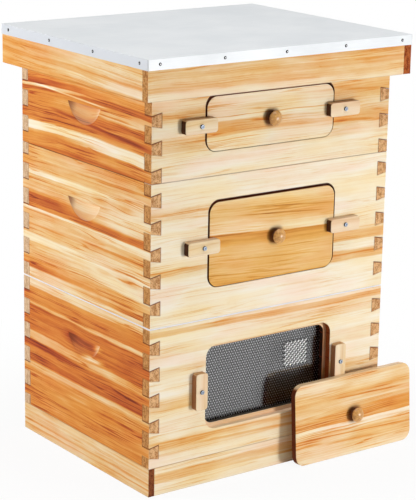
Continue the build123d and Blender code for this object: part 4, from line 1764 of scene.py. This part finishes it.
@dataclass
class HiveBox:
    """One box of the stack: four dovetailed boards, its window's pane, turn buttons, screws and frames.

    Attributes:
        box: Which box it is.
        front: Figure of the window board.
        left: Figure of the left board.
        back: Figure of the back board.
        right: Figure of the right board.
        window: The window in the front board.
        hand_hold: The hand-holds in the left and right boards.
        button_grain: Axis that the turn buttons lie along.
        button_left_shade: Painted shade on the turn buttons' left sides, partly end grain on the upper
            boxes.
        joint: Layout of the dovetails.
        lips: How dark the lines along the box's lower and upper edge are.
        long_lips: How dark those lines are on the front and back, beside the left and right.
    """

    box: BoxName
    front: Figure
    left: Figure
    back: Figure
    right: Figure
    window: Window
    hand_hold: HandHold
    button_grain: Axis
    button_left_shade: Tint
    joint: Dovetail
    lips: Pair
    long_lips: float = 0.6

    def dress(self) -> None:
        """Dresses every node of the box."""
        name = self.box.value
        self.dress_long(Side.FRONT, self.front, PALE_WOOD)
        self.dress_short(Side.LEFT, self.left)
        self.dress_short(Side.RIGHT, self.right)
        self.dress_long(Side.BACK, self.back, BACK_WOOD)
        for side in (Side.LEFT, Side.RIGHT):
            self.dress_button(f"{name}_{side.word}_button")
        pane = f"{name}_pane"
        dress(pane, CLEAR_PANE.material(pane, self.window.is_open))
        pane_screws = f"{name}_pane_screws"
        dress(pane_screws, SCREW_STEEL.material(pane_screws))
        screws = f"{name}_button_screws"
        dress(screws, SCREW_HEADS.material(screws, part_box(screws)[0].y))
        FrameSet(self.box).dress()

    def dress_long(self, side: Side, figure: Figure, finish: WoodFinish) -> None:
        """Dresses the front board, with its window's own tints, or the back board.

        Args:
            side: Front or back.
            figure: The board's figure.
            finish: The board's wood.
        """
        node = f"{self.box.value}_{side.word}_board"
        board = Board.of_node(node, Axis.X, Axis.Z)
        cuts = self.window.cuts(board) if side is Side.FRONT else ()
        lips = (self.lips[0] * self.long_lips, self.lips[1] * self.long_lips)
        dress(node, finish.material(node, board, figure, cuts, self.joint, lips))

    def dress_short(self, side: Side, figure: Figure) -> None:
        """Dresses the left or right board, with its hand-hold's own tints.

        Args:
            side: Left or right.
            figure: The board's figure.
        """
        node = f"{self.box.value}_{side.word}_board"
        board = Board.of_node(node, Axis.Y, Axis.Z)
        cuts = self.hand_hold.cuts(board, side)
        dress(node, HIVE_WOOD.material(node, board, figure, cuts, self.joint, self.lips))

    def dress_button(self, node: str) -> None:
        """Dresses a turn button, with its grain along its length, its edges tinted and its left side
        darkened as painted shade.

        Args:
            node: Name of the button's node.
        """
        across = Axis.Z if self.button_grain is Axis.X else Axis.X
        board = Board.of_node(node, self.button_grain, across)
        cuts = (
            Cut.all_over(board, *BUTTON_EDGES, Faces.EDGES),
            # Painted shade on the button's left side.
            Cut.all_over(board, *self.button_left_shade, Faces.LEFT),
        )
        figure = Figure(BUTTON_BANDS, BUTTON_BANDS, seed=board.low[0] * 40 + board.low[2])
        dress(node, BUTTON_WOOD.material(node, board, figure, cuts))


@dataclass
class Roof:
    """The lift-off roof: rim boards, top board, metal cap and nails.

    The plain figure is that of the back, right and top boards; the nails' tip is a share of their radius.
    """

    front: Figure
    left: Figure
    plain: Figure
    nail_level: float = 745.5 * MM
    nail_radius: float = 2.8 * MM
    nail_height: float = 1.0 * MM
    nail_tip: float = 0.02
    nail_rings: int = 7
    nail_steps: int = 16
    front_pitch: float = 127.5 * MM
    front_count: int = 5
    side_pitch: float = 138.0 * MM
    side_count: int = 4

    def dress(self) -> None:
        """Dresses the boards and the cap, and builds the nail heads."""
        for side, grain, figure, finish in (
            (Side.FRONT, Axis.X, self.front, PALE_WOOD), (Side.BACK, Axis.X, self.plain, PALE_WOOD),
            (Side.LEFT, Axis.Y, self.left, PALE_WOOD), (Side.RIGHT, Axis.Y, self.plain, RUST_END_WOOD),
        ):
            dress_board(f"roof_rim_{side.word}", finish, grain, Axis.Z, figure)
        dress_board("roof_top_board", PALE_WOOD, Axis.X, Axis.Y, self.plain)
        dress("roof_metal_cap", ROOF_METAL.material("roof_metal_cap"))
        self.build_nails()

    def nail_places(self) -> list[tuple[np.ndarray, np.ndarray]]:
        """Works out where the nails are driven: evenly spaced about the middle of each side.

        Returns:
            Each nail's foot on the skirt, and its outward direction.
        """
        _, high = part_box("roof_metal_cap")
        places = []
        for side in Side:
            outward = np.array([*side.value, 0.0])
            along = np.array([-outward[1], outward[0], 0.0])
            reach = high.x if side.value[0] else high.y
            long_side = side in (Side.FRONT, Side.BACK)
            count = self.front_count if long_side else self.side_count
            pitch = self.front_pitch if long_side else self.side_pitch
            shifts = (np.arange(count) - (count - 1) / 2) * pitch
            foot = outward * reach + np.array([0.0, 0.0, self.nail_level])
            places += [(foot + along * shift, outward) for shift in shifts]
        return places

    def build_nails(self) -> None:
        """Builds all nail heads as one piece: quarter ellipses turned about each nail's own axis."""
        share = np.linspace(1.0, self.nail_tip, self.nail_rings)
        dome = np.stack([share, np.sqrt(1 - share ** 2)], -1) * [self.nail_radius, self.nail_height]
        steps = self.nail_steps
        size = self.nail_rings * steps
        head_faces = turned_faces(self.nail_rings, steps)
        up = np.array([0.0, 0.0, 1.0])
        points, faces, radii = [], [], []
        for foot, outward in self.nail_places():
            start = len(points) * size
            axes = np.stack([np.cross(up, outward), up, outward])
            points.append(turned_points(dome, steps, foot, axes))
            faces += (head_faces + start).tolist()
            faces.append(list(range(start + size - steps, start + size)))
            faces.append(list(range(start, start + steps))[::-1])
            radii.append(np.repeat(share, steps))
        material = NAIL_STEEL.material("roof_nail_steel")
        attributes = {"radius": np.concatenate(radii)}
        nails = add_piece("roof_nail_heads", np.concatenate(points), faces, material, attributes)
        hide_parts("roof_nails")
        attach(nails, "roof")


@dataclass
class Base:
    """The base: rails, floor, centre batten and entrance reducer.

    Attributes:
        front: Figure of the front rail.
        left: Figure of the left rail.
        plain: Figure of the other pieces.
    """

    front: Figure
    left: Figure
    plain: Figure

    def dress(self) -> None:
        """Dresses every node of the base."""
        for node, grain, across, figure, finish in (
            ("base_front_rail", Axis.X, Axis.Z, self.front, PALE_WOOD),
            ("base_back_rail", Axis.X, Axis.Z, self.plain, PALE_WOOD),
            ("base_left_rail", Axis.Y, Axis.Z, self.left, DARK_END_WOOD),
            ("base_floor_planks", Axis.Y, Axis.X, self.plain, PALE_WOOD),
            ("base_centre_batten", Axis.X, Axis.Y, self.plain, PALE_WOOD),
            ("entrance_reducer", Axis.Y, Axis.Z, self.plain, PALE_WOOD),
        ):
            dress_board(node, finish, grain, across, figure)


@dataclass
class InnerFittings:
    """What lies between and above the boxes: queen excluder and inner cover."""

    plain: Figure

    def dress(self) -> None:
        """Dresses the excluder, the inner cover's rails and its board."""
        dress("queen_excluder", EXCLUDER_PLASTIC.material("queen_excluder"))
        for node in ("inner_cover_rails", "inner_cover_board"):
            dress_board(node, FRAME_WOOD, Axis.X, Axis.Y, self.plain)


def direction(azimuth: float, elevation: float) -> Vector:
    """The way from the hive to a place round it.

    Args:
        azimuth: Direction round the hive, in degrees; 0 is in front, 90 to the right.
        elevation: Height above the horizon, in degrees.

    Returns:
        A vector of length 1.
    """
    turn, tip = math.radians(azimuth), math.radians(elevation)
    return Vector((math.sin(turn) * math.cos(tip), -math.cos(turn) * math.cos(tip), math.sin(tip)))


@dataclass(frozen=True)
class Softbox:
    """A rectangular studio lamp that looks at the hive's middle.

    Attributes:
        name: Name of the lamp.
        azimuth: Direction round the hive, in degrees.
        elevation: Height above the horizon, in degrees.
        size: Width and height in metres.
        level: Brightness that it gives a white surface facing it, as a share of white.
        distance: Distance from the hive's middle.
    """

    name: str
    azimuth: float
    elevation: float
    size: Pair
    level: float
    distance: float = 3.0

    def build(self, target: Vector) -> None:
        """Hangs the lamp; its power is the level times pi squared times the squared distance.

        Args:
            target: The hive's middle.
        """
        away = direction(self.azimuth, self.elevation)
        data = bpy.data.lights.new(self.name, "AREA")
        data.shape = "RECTANGLE"
        data.size, data.size_y = self.size
        data.energy = self.level * math.pi ** 2 * self.distance ** 2
        lamp = bpy.data.objects.new(self.name, data)
        lamp.location = target + away * self.distance
        lamp.rotation_euler = (-away).to_track_quat("-Z", "Y").to_euler()
        bpy.context.scene.collection.objects.link(lamp)
        LOG.info("hung %s", self.name)


@dataclass
class Studio:
    """Camera, lamps, white surroundings and floor.

    Angles are in degrees, the focal length in pixels of the photograph and the sensor in millimetres. The
    floor's glow is the share of plain white that it shows near the hive, which grows to 1 over its fade.
    """

    camera_place: Triple = (-1.913136, -2.638772, 1.226275)
    camera_azimuth: float = -36.1324
    camera_elevation: float = 15.0110
    camera_roll: float = 1.0083
    focal_pixels: float = 1863.645
    frame_height_pixels: float = 500.0
    sensor: float = 36.0
    ambient: float = 0.11
    floor_reach: float = 14.0
    floor_level: float = 0.92
    floor_glow: float = 0.92
    floor_fade: Pair = (0.35, 0.8)
    lamps: tuple[Softbox, ...] = (
        Softbox("key_softbox", 24.0, -2.0, (0.55, 0.55), 0.52),
        Softbox("left_softbox", -116.0, 16.0, (1.0, 1.2), 0.625),
        Softbox("top_softbox", 10.0, 78.0, (1.6, 1.6), 0.54),
        Softbox("back_softbox", 135.0, 0.0, (1.6, 0.6), 0.4),
    )

    def build(self) -> None:
        """Builds the whole studio."""
        low, high = CAD_BOX
        target = (low + high) / 2
        self.build_camera()
        for lamp in self.lamps:
            lamp.build(target)
        self.build_world()
        self.build_floor()
        bpy.context.scene.view_settings.view_transform = "Standard"

    def build_camera(self) -> None:
        """Puts the camera at the place and angle that the photograph was taken from."""
        turn, roll = math.radians(self.camera_azimuth), math.radians(self.camera_roll)
        right = Vector((math.cos(turn), math.sin(turn), 0.0))
        back = direction(self.camera_azimuth, self.camera_elevation)
        up = back.cross(right)
        rolled_right = math.cos(roll) * right + math.sin(roll) * up
        rolled_up = math.cos(roll) * up - math.sin(roll) * right
        data = bpy.data.cameras.new("camera")
        data.sensor_width = self.sensor
        data.lens = self.focal_pixels * self.sensor / self.frame_height_pixels
        camera = bpy.data.objects.new("camera", data)
        camera.matrix_world = (
            Matrix.Translation(Vector(self.camera_place))
            @ Matrix((rolled_right, rolled_up, back)).transposed().to_4x4()
        )
        bpy.context.scene.collection.objects.link(camera)
        bpy.context.scene.camera = camera

    def build_world(self) -> None:
        """Surroundings that look white and light the hive weakly from all sides."""
        world = bpy.data.worlds.new("white_surroundings")
        bpy.context.scene.world = world
        shader = Shader(world)
        strength = self.ambient + (1 - self.ambient) * shader.seen_directly()
        background = shader.node("Background", None, {"Color": grey(1.0), "Strength": strength})
        shader.node("OutputWorld", None, {"Surface": background.outputs[0]})

    def build_floor(self) -> None:
        """A wide white floor that shows as white but keeps the hive's shadow."""
        shader = Shader.of_material("white_floor")
        x, y, _ = shader.position()
        away = shader.math("SQRT", x * x + y * y)
        glow_share = self.floor_glow + (1 - self.floor_glow) * shader.smooth(away, *self.floor_fade)
        matt = shader.node("BsdfDiffuse", None, {"Color": grey(self.floor_level)}).outputs[0]
        glow = shader.node("Emission", None, {"Color": grey(1.0), "Strength": 1.0}).outputs[0]
        material = shader.finish(shader.blend(shader.seen_directly() * glow_share, matt, glow))
        reach = self.floor_reach
        corners = np.array([[-reach, -reach, 0], [reach, -reach, 0], [reach, reach, 0], [-reach, reach, 0]])
        add_piece("floor", corners, [[0, 1, 2, 3]], material, {})


TOP_LEFT = Figure(
    near=(
        (0.0, 0.7), (0.02, 0.52), (0.118, 0.5), (0.128, 0.08), (0.236, 0.1), (0.244, 0.5), (0.29, 0.56),
        (0.3, 0.74), (0.35, 0.7), (0.37, 0.5), (0.405, 0.72), (0.45, 0.68), (0.47, 0.5), (0.495, 0.32),
        (0.54, 0.34), (0.56, 0.48), (0.595, 0.5), (0.605, 0.72), (0.66, 0.7), (0.675, 0.5), (0.78, 0.44),
        (1.0, 0.42),
    ),
    far=(
        (0.0, 0.72), (0.02, 0.55), (0.08, 0.58), (0.16, 0.52), (0.17, 0.1), (0.25, 0.1), (0.258, 0.55),
        (0.29, 0.58), (0.305, 0.72), (0.33, 0.6), (0.375, 0.64), (0.39, 0.54), (0.47, 0.58), (0.52, 0.52),
        (0.58, 0.56), (0.6, 0.62), (0.61, 0.74), (0.625, 0.7), (0.632, 0.25), (0.655, 0.25), (0.665, 0.8),
        (0.715, 0.76), (0.73, 0.56), (0.8, 0.5), (1.0, 0.48),
    ),
    bow=0.035, sway=0.02,
    streaks=(
        Streak((0.05, 0.33), (0.75, 0.45), 0.03, 0.2), Streak((0.35, 0.62), (0.85, 0.66), 0.014, -0.35),
    ),
    seed=2.3,
)
MIDDLE_LEFT = Figure(
    near=(
        (0.0, 0.26), (0.03, 0.24), (0.036, 0.62), (0.06, 0.6), (0.07, 0.4), (0.155, 0.38), (0.17, 0.16),
        (0.295, 0.14), (0.302, 0.34), (0.312, 0.34), (0.32, 0.2), (0.38, 0.24), (0.39, 0.36), (0.413, 0.36),
        (0.42, 0.58), (0.428, 0.58), (0.436, 0.36), (0.48, 0.36), (0.486, 0.2), (0.533, 0.14), (0.541, 0.66),
        (0.585, 0.68), (0.592, 0.5), (0.6, 0.26), (0.68, 0.2), (0.785, 0.22), (0.818, 0.12), (0.826, 0.34),
        (0.893, 0.34), (0.905, 0.58), (0.918, 0.36), (1.0, 0.46),
    ),
    far=(
        (0.0, 0.24), (0.07, 0.22), (0.078, 0.4), (0.088, 0.7), (0.112, 0.66), (0.12, 0.48), (0.16, 0.44),
        (0.17, 0.38), (0.28, 0.36), (0.29, 0.12), (0.335, 0.14), (0.345, 0.34), (0.395, 0.36), (0.41, 0.5),
        (0.425, 0.36), (0.5, 0.36), (0.52, 0.32), (0.526, 0.12), (0.537, 0.12), (0.543, 0.58), (0.57, 0.62),
        (0.58, 0.76), (0.645, 0.72), (0.655, 0.5), (0.68, 0.38), (0.785, 0.36), (0.79, 0.12), (0.818, 0.14),
        (0.828, 0.36), (0.9, 0.46), (0.915, 0.36), (1.0, 0.42),
    ),
    sway=0.012,
    knots=(
        Knot(0.18, 0.765, 0.026, 0.007, 0.2), Knot(0.15, 0.265, 0.026, 0.007, 0.2),
        Knot(0.37, 0.765, 0.02, 0.006, 0.2), Knot(0.35, 0.26, 0.02, 0.005, 0.16),
    ),
    seed=7.1,
)
LOWER_LEFT = Figure(
    near=(
        (0.0, 0.56), (0.08, 0.5), (0.1, 0.62), (0.12, 0.52), (0.2, 0.54), (0.215, 0.64), (0.23, 0.52),
        (0.31, 0.5), (0.32, 0.34), (0.35, 0.34), (0.36, 0.56), (0.37, 0.84), (0.4, 0.7), (0.44, 0.8),
        (0.455, 0.64), (0.505, 0.62), (0.515, 0.4), (0.562, 0.36), (0.572, 0.6), (0.585, 0.72), (0.65, 0.66),
        (0.7, 0.72), (0.77, 0.66), (0.782, 0.8), (0.795, 0.3), (0.815, 0.3), (0.825, 0.66), (0.9, 0.6),
        (0.935, 0.56), (0.945, 0.28), (1.0, 0.24),
    ),
    far=(
        (0.0, 0.56), (0.1, 0.5), (0.115, 0.62), (0.135, 0.5), (0.24, 0.54), (0.255, 0.64), (0.27, 0.52),
        (0.31, 0.5), (0.32, 0.36), (0.348, 0.36), (0.358, 0.58), (0.37, 0.78), (0.41, 0.74), (0.425, 0.62),
        (0.47, 0.62), (0.478, 0.84), (0.525, 0.8), (0.533, 0.38), (0.595, 0.38), (0.605, 0.66), (0.68, 0.6),
        (0.72, 0.68), (0.77, 0.62), (0.785, 0.74), (0.795, 0.74), (0.803, 0.4), (0.818, 0.4), (0.828, 0.6),
        (0.9, 0.54), (0.935, 0.52), (0.945, 0.26), (1.0, 0.22),
    ),
    sway=0.015,
    streaks=(
        Streak((0.36, 0.6), (0.5, 0.588), 0.028, -0.45, 0.05),
        Streak((0.37, 0.69), (0.44, 0.67), 0.03, -0.3, 0.03),
    ),
    knots=(Knot(0.6, 0.69, 0.024, 0.012, 0.3, 0.3), Knot(0.49, 0.66, 0.03, 0.007, 0.22, 0.3)),
    seed=4.6,
)
TOP_FRONT = Figure(
    near=(
        (0.0, 0.08), (0.25, 0.1), (0.3, 0.28), (0.42, 0.3), (0.45, 0.14), (0.58, 0.14), (0.62, 0.28),
        (0.68, 0.3), (0.72, 0.2), (0.85, 0.24), (1.0, 0.26),
    ),
    far=(
        (0.0, 0.12), (0.2, 0.12), (0.25, 0.22), (0.34, 0.24), (0.37, 0.34), (0.42, 0.4), (0.48, 0.3),
        (0.53, 0.22), (0.6, 0.22), (0.62, 0.3), (0.7, 0.34), (0.82, 0.28), (0.9, 0.32), (1.0, 0.32),
    ),
    sway=0.04,
    streaks=(
        Streak((0.76, 0.4), (0.92, 0.38), 0.025, 0.2, 0.03),
        Streak((0.02, 0.66), (0.13, 0.63), 0.03, 0.16, 0.03),
        Streak((0.8, 0.72), (0.96, 0.7), 0.02, 0.14, 0.04),
    ),
    seed=11.7,
)
MIDDLE_FRONT = Figure(
    near=(
        (0.0, 0.04), (0.32, 0.06), (0.35, 0.22), (0.38, 0.24), (0.384, 0.5), (0.39, 0.1), (0.5, 0.06),
        (0.7, 0.08), (0.75, 0.24), (0.8, 0.22), (0.84, 0.08), (1.0, 0.06),
    ),
    far=(
        (0.0, 0.03), (0.225, 0.05), (0.24, 0.34), (0.275, 0.4), (0.282, 0.6), (0.288, 0.4), (0.31, 0.24),
        (0.32, 0.06), (0.375, 0.08), (0.39, 0.4), (0.44, 0.38), (0.48, 0.16), (0.55, 0.06), (1.0, 0.06),
    ),
    sway=0.012, seed=15.2,
)
LOWER_FRONT = Figure(
    near=(
        (0.0, 0.1), (0.07, 0.1), (0.08, 0.3), (0.1, 0.16), (0.14, 0.34), (0.17, 0.28), (0.2, 0.12),
        (0.38, 0.08), (0.404, 0.26), (0.465, 0.26), (0.5, 0.04), (0.64, 0.04), (0.66, 0.2), (0.69, 0.2),
        (0.71, 0.04), (0.77, 0.04), (0.79, 0.16), (0.85, 0.16), (0.88, 0.03), (0.93, 0.03), (0.939, 0.32),
        (0.974, 0.32), (0.982, 0.08), (1.0, 0.1),
    ),
    far=(
        (0.0, 0.12), (0.06, 0.12), (0.09, 0.34), (0.11, 0.16), (0.15, 0.32), (0.18, 0.12), (0.36, 0.1),
        (0.4, 0.26), (0.48, 0.26), (0.5, 0.06), (0.62, 0.06), (0.64, 0.18), (0.71, 0.18), (0.75, 0.06),
        (0.83, 0.08), (0.86, 0.22), (0.93, 0.22), (0.941, 0.36), (0.974, 0.34), (0.982, 0.12), (1.0, 0.14),
    ),
    sway=0.014,
    streaks=(
        Streak((0.2, 0.115), (0.62, 0.095), 0.014, 0.2), Streak((0.0, 0.175), (0.55, 0.16), 0.012, 0.16),
    ),
    seed=19.4,
)
TOP_COVER = Figure(
    near=(
        (0.0, 0.14), (0.26, 0.14), (0.3, 0.4), (0.42, 0.46), (0.52, 0.4), (0.55, 0.16), (0.6, 0.16),
        (0.61, 0.46), (0.62, 0.18), (0.88, 0.18), (0.94, 0.1), (1.0, 0.1),
    ),
    far=(
        (0.0, 0.16), (0.2, 0.14), (0.24, 0.3), (0.34, 0.3), (0.4, 0.16), (0.59, 0.14), (0.61, 0.46),
        (0.62, 0.16), (0.88, 0.18), (0.94, 0.1), (1.0, 0.1),
    ),
    sway=0.03, seed=23.9,
)
MIDDLE_COVER = Figure(
    near=(
        (0.0, 0.5), (0.05, 0.42), (0.1, 0.36), (0.2, 0.38), (0.3, 0.34), (0.42, 0.38), (0.46, 0.52),
        (0.54, 0.58), (0.573, 0.68), (0.583, 0.05), (0.62, 0.06), (0.68, 0.16), (0.74, 0.28), (0.79, 0.36),
        (0.86, 0.34), (0.92, 0.26), (1.0, 0.12),
    ),
    far=(
        (0.0, 0.46), (0.08, 0.36), (0.2, 0.38), (0.3, 0.34), (0.38, 0.38), (0.43, 0.52), (0.5, 0.58),
        (0.552, 0.68), (0.562, 0.06), (0.6, 0.1), (0.65, 0.2), (0.7, 0.3), (0.76, 0.42), (0.81, 0.44),
        (0.87, 0.36), (0.93, 0.24), (1.0, 0.12),
    ),
    lean=0.065, sway=0.03,
    streaks=(
        Streak((0.25, 0.8), (0.9, 0.72), 0.012, 0.22), Streak((0.45, 0.86), (1.0, 0.79), 0.012, 0.2),
        Streak((0.1, 0.3), (0.9, 0.21), 0.014, 0.16), Streak((0.0, 0.14), (0.7, 0.05), 0.014, 0.2),
    ),
    seed=28.3,
)
LOOSE_COVER = Figure(
    near=(
        (0.0, 0.14), (0.1, 0.24), (0.3, 0.32), (0.4, 0.25), (0.42, 0.1), (0.46, 0.08), (0.47, 0.44),
        (0.485, 0.4), (0.53, 0.38), (0.6, 0.37), (0.63, 0.3), (0.72, 0.31), (0.82, 0.34), (0.95, 0.27),
        (1.08, 0.24),
    ),
    far=(
        (0.0, 0.17), (0.12, 0.28), (0.3, 0.34), (0.37, 0.26), (0.39, 0.1), (0.455, 0.08), (0.466, 0.58),
        (0.485, 0.52), (0.55, 0.5), (0.64, 0.52), (0.67, 0.34), (0.78, 0.32), (0.85, 0.4), (0.95, 0.3),
        (1.08, 0.28),
    ),
    sway=0.015,
    streaks=(
        Streak((0.36, 0.74), (0.9, 0.72), 0.012, 0.26), Streak((0.1, 0.3), (0.9, 0.26), 0.012, 0.24),
        Streak((0.3, 0.2), (0.7, 0.18), 0.02, 0.16),
    ),
    seed=31.8,
)
RIM_FRONT = Figure(
    near=(
        (0.0, 0.12), (0.12, 0.16), (0.2, 0.28), (0.3, 0.34), (0.42, 0.26), (0.55, 0.34), (0.7, 0.28),
        (0.85, 0.36), (1.0, 0.34),
    ),
    far=(
        (0.0, 0.2), (0.12, 0.22), (0.24, 0.38), (0.36, 0.32), (0.5, 0.42), (0.6, 0.28), (0.75, 0.38),
        (0.85, 0.3), (1.0, 0.36),
    ),
    sway=0.06,
    streaks=(
        Streak((0.23, 0.84), (0.31, 0.84), 0.12, 0.22, 0.03),
        Streak((0.5, 0.8), (0.57, 0.78), 0.1, 0.16, 0.03),
        Streak((0.85, 0.7), (0.98, 0.68), 0.12, 0.14),
    ),
    seed=36.5,
)
RIM_LEFT = Figure(
    near=(
        (0.0, 0.5), (0.1, 0.4), (0.16, 0.18), (0.28, 0.16), (0.34, 0.36), (0.38, 0.5), (0.43, 0.32),
        (0.5, 0.2), (0.76, 0.24), (0.85, 0.38), (0.93, 0.54), (1.0, 0.46),
    ),
    far=(
        (0.0, 0.44), (0.2, 0.36), (0.3, 0.52), (0.42, 0.4), (0.55, 0.5), (0.64, 0.36), (0.75, 0.52),
        (0.85, 0.44), (1.0, 0.6),
    ),
    lean=-0.2, sway=0.06,
    streaks=(Streak((0.2, 0.9), (0.5, 0.8), 0.05, 0.16),),
    seed=41.2,
)
BASE_FRONT = Figure(
    near=((0.0, 0.08), (0.39, 0.1), (0.44, 0.3), (0.74, 0.32), (0.79, 0.1), (0.94, 0.1), (1.0, 0.16)),
    far=((0.0, 0.1), (0.36, 0.12), (0.44, 0.32), (0.74, 0.3), (0.8, 0.1), (1.0, 0.16)),
    sway=0.05, seed=44.4,
)
BASE_LEFT = Figure(
    near=(
        (0.0, 0.27), (0.2, 0.25), (0.24, 0.5), (0.28, 0.26), (0.4, 0.28), (0.44, 0.52), (0.5, 0.27),
        (1.0, 0.25),
    ),
    far=(
        (0.0, 0.27), (0.18, 0.27), (0.22, 0.5), (0.26, 0.26), (0.36, 0.27), (0.4, 0.5), (0.46, 0.27),
        (1.0, 0.29),
    ),
    sway=0.05, seed=47.7,
)
PLAIN = Figure(
    near=((0.0, 0.3), (0.3, 0.2), (0.5, 0.34), (0.7, 0.22), (1.0, 0.3)),
    far=((0.0, 0.24), (0.3, 0.34), (0.6, 0.2), (1.0, 0.26)),
    sway=0.08, seed=52.6,
)


DEEP_WINDOW = (273 * MM, 152 * MM)
SHALLOW_WINDOW = (273 * MM, 97 * MM)
LOOSE_COVER_TILT = math.radians(4.0)


def turned_round(figure: Figure, seed: float) -> Figure:
    """The same figure with its ends swapped and other noise, for the board on the far side."""
    knots = tuple(replace(knot, along=1 - knot.along) for knot in figure.knots)
    return replace(figure, near=figure.far, far=figure.near, streaks=(), knots=knots, seed=seed)


def hive_boxes() -> tuple[HiveBox, ...]:
    """Describes the boxes.

    Returns:
        The three boxes, from the ground up.
    """
    return (
        HiveBox(
            box=BoxName.LOWER, front=LOWER_FRONT, left=LOWER_LEFT,
            back=turned_round(MIDDLE_FRONT, 61.0), right=turned_round(MIDDLE_LEFT, 62.0),
            window=Window((0.0, 0.0), DEEP_WINDOW, True),
            hand_hold=HandHold(177 * MM, ("#d08a48", 0.1)),
            button_grain=Axis.Z, button_left_shade=BUTTON_PAINTED_SHADE_SIDE,
            joint=Dovetail.of_box(BoxName.LOWER, 28 * MM), lips=(0.5, 0.1),
        ),
        HiveBox(
            box=BoxName.MIDDLE, front=MIDDLE_FRONT, left=MIDDLE_LEFT,
            back=turned_round(LOWER_FRONT, 63.0), right=turned_round(LOWER_LEFT, 64.0),
            window=Window((0.0, 5 * MM), DEEP_WINDOW, False, (0.3 * MM, 0.6 * MM)),
            hand_hold=HandHold(177 * MM, ("#ecd2ae", 0.3)),
            button_grain=Axis.X, button_left_shade=BUTTON_END_GRAIN_AND_SHADE_SIDE,
            joint=Dovetail.of_box(BoxName.MIDDLE, 33 * MM), lips=(0.1, 0.85),
        ),
        HiveBox(
            box=BoxName.TOP, front=TOP_FRONT, left=TOP_LEFT,
            back=turned_round(TOP_FRONT, 65.0), right=turned_round(TOP_LEFT, 66.0),
            window=Window((-9 * MM, 5 * MM), SHALLOW_WINDOW, False, (0.4 * MM, 1.8 * MM)),
            hand_hold=HandHold(99 * MM, ("#e4c096", 0.3)),
            button_grain=Axis.X, button_left_shade=BUTTON_END_GRAIN_AND_SHADE_SIDE,
            joint=Dovetail.of_box(BoxName.TOP, 12 * MM), lips=(0.9, 0.2),
        ),
    )


def window_covers() -> tuple[WindowCover, ...]:
    """Describes the window covers.

    Returns:
        The loose cover, and the closed covers of the middle and the top box.
    """
    return (
        WindowCover(
            BoxName.LOWER, "loose_cover", LOOSE_COVER_TILT, LOOSE_COVER, HIVE_WOOD, BURNT_EDGES, PAINTED_LIGHT_TOP_EDGE
        ),
        WindowCover(BoxName.MIDDLE, "middle_box", 0.0, MIDDLE_COVER, GOLD_WOOD, PAINTED_GAP_SHADE, PAINTED_GAP_SHADE_TOP),
        WindowCover(BoxName.TOP, "top_box", 0.0, TOP_COVER, HIVE_WOOD, PAINTED_GAP_SHADE, PAINTED_GAP_SHADE_TOP),
    )


def main() -> None:
    """Builds and dresses the sub-assemblies in order, from the ground up, and then the studio."""
    logging.basicConfig(level=logging.INFO, format="%(name)s: %(message)s")
    Base(BASE_FRONT, BASE_LEFT, PLAIN).dress()
    for assembly in (*hive_boxes(), *window_covers()):
        assembly.dress()
    InnerFittings(PLAIN).dress()
    Roof(RIM_FRONT, RIM_LEFT, PLAIN).dress()
    Studio().build()


if __name__ == "__main__":
    main()
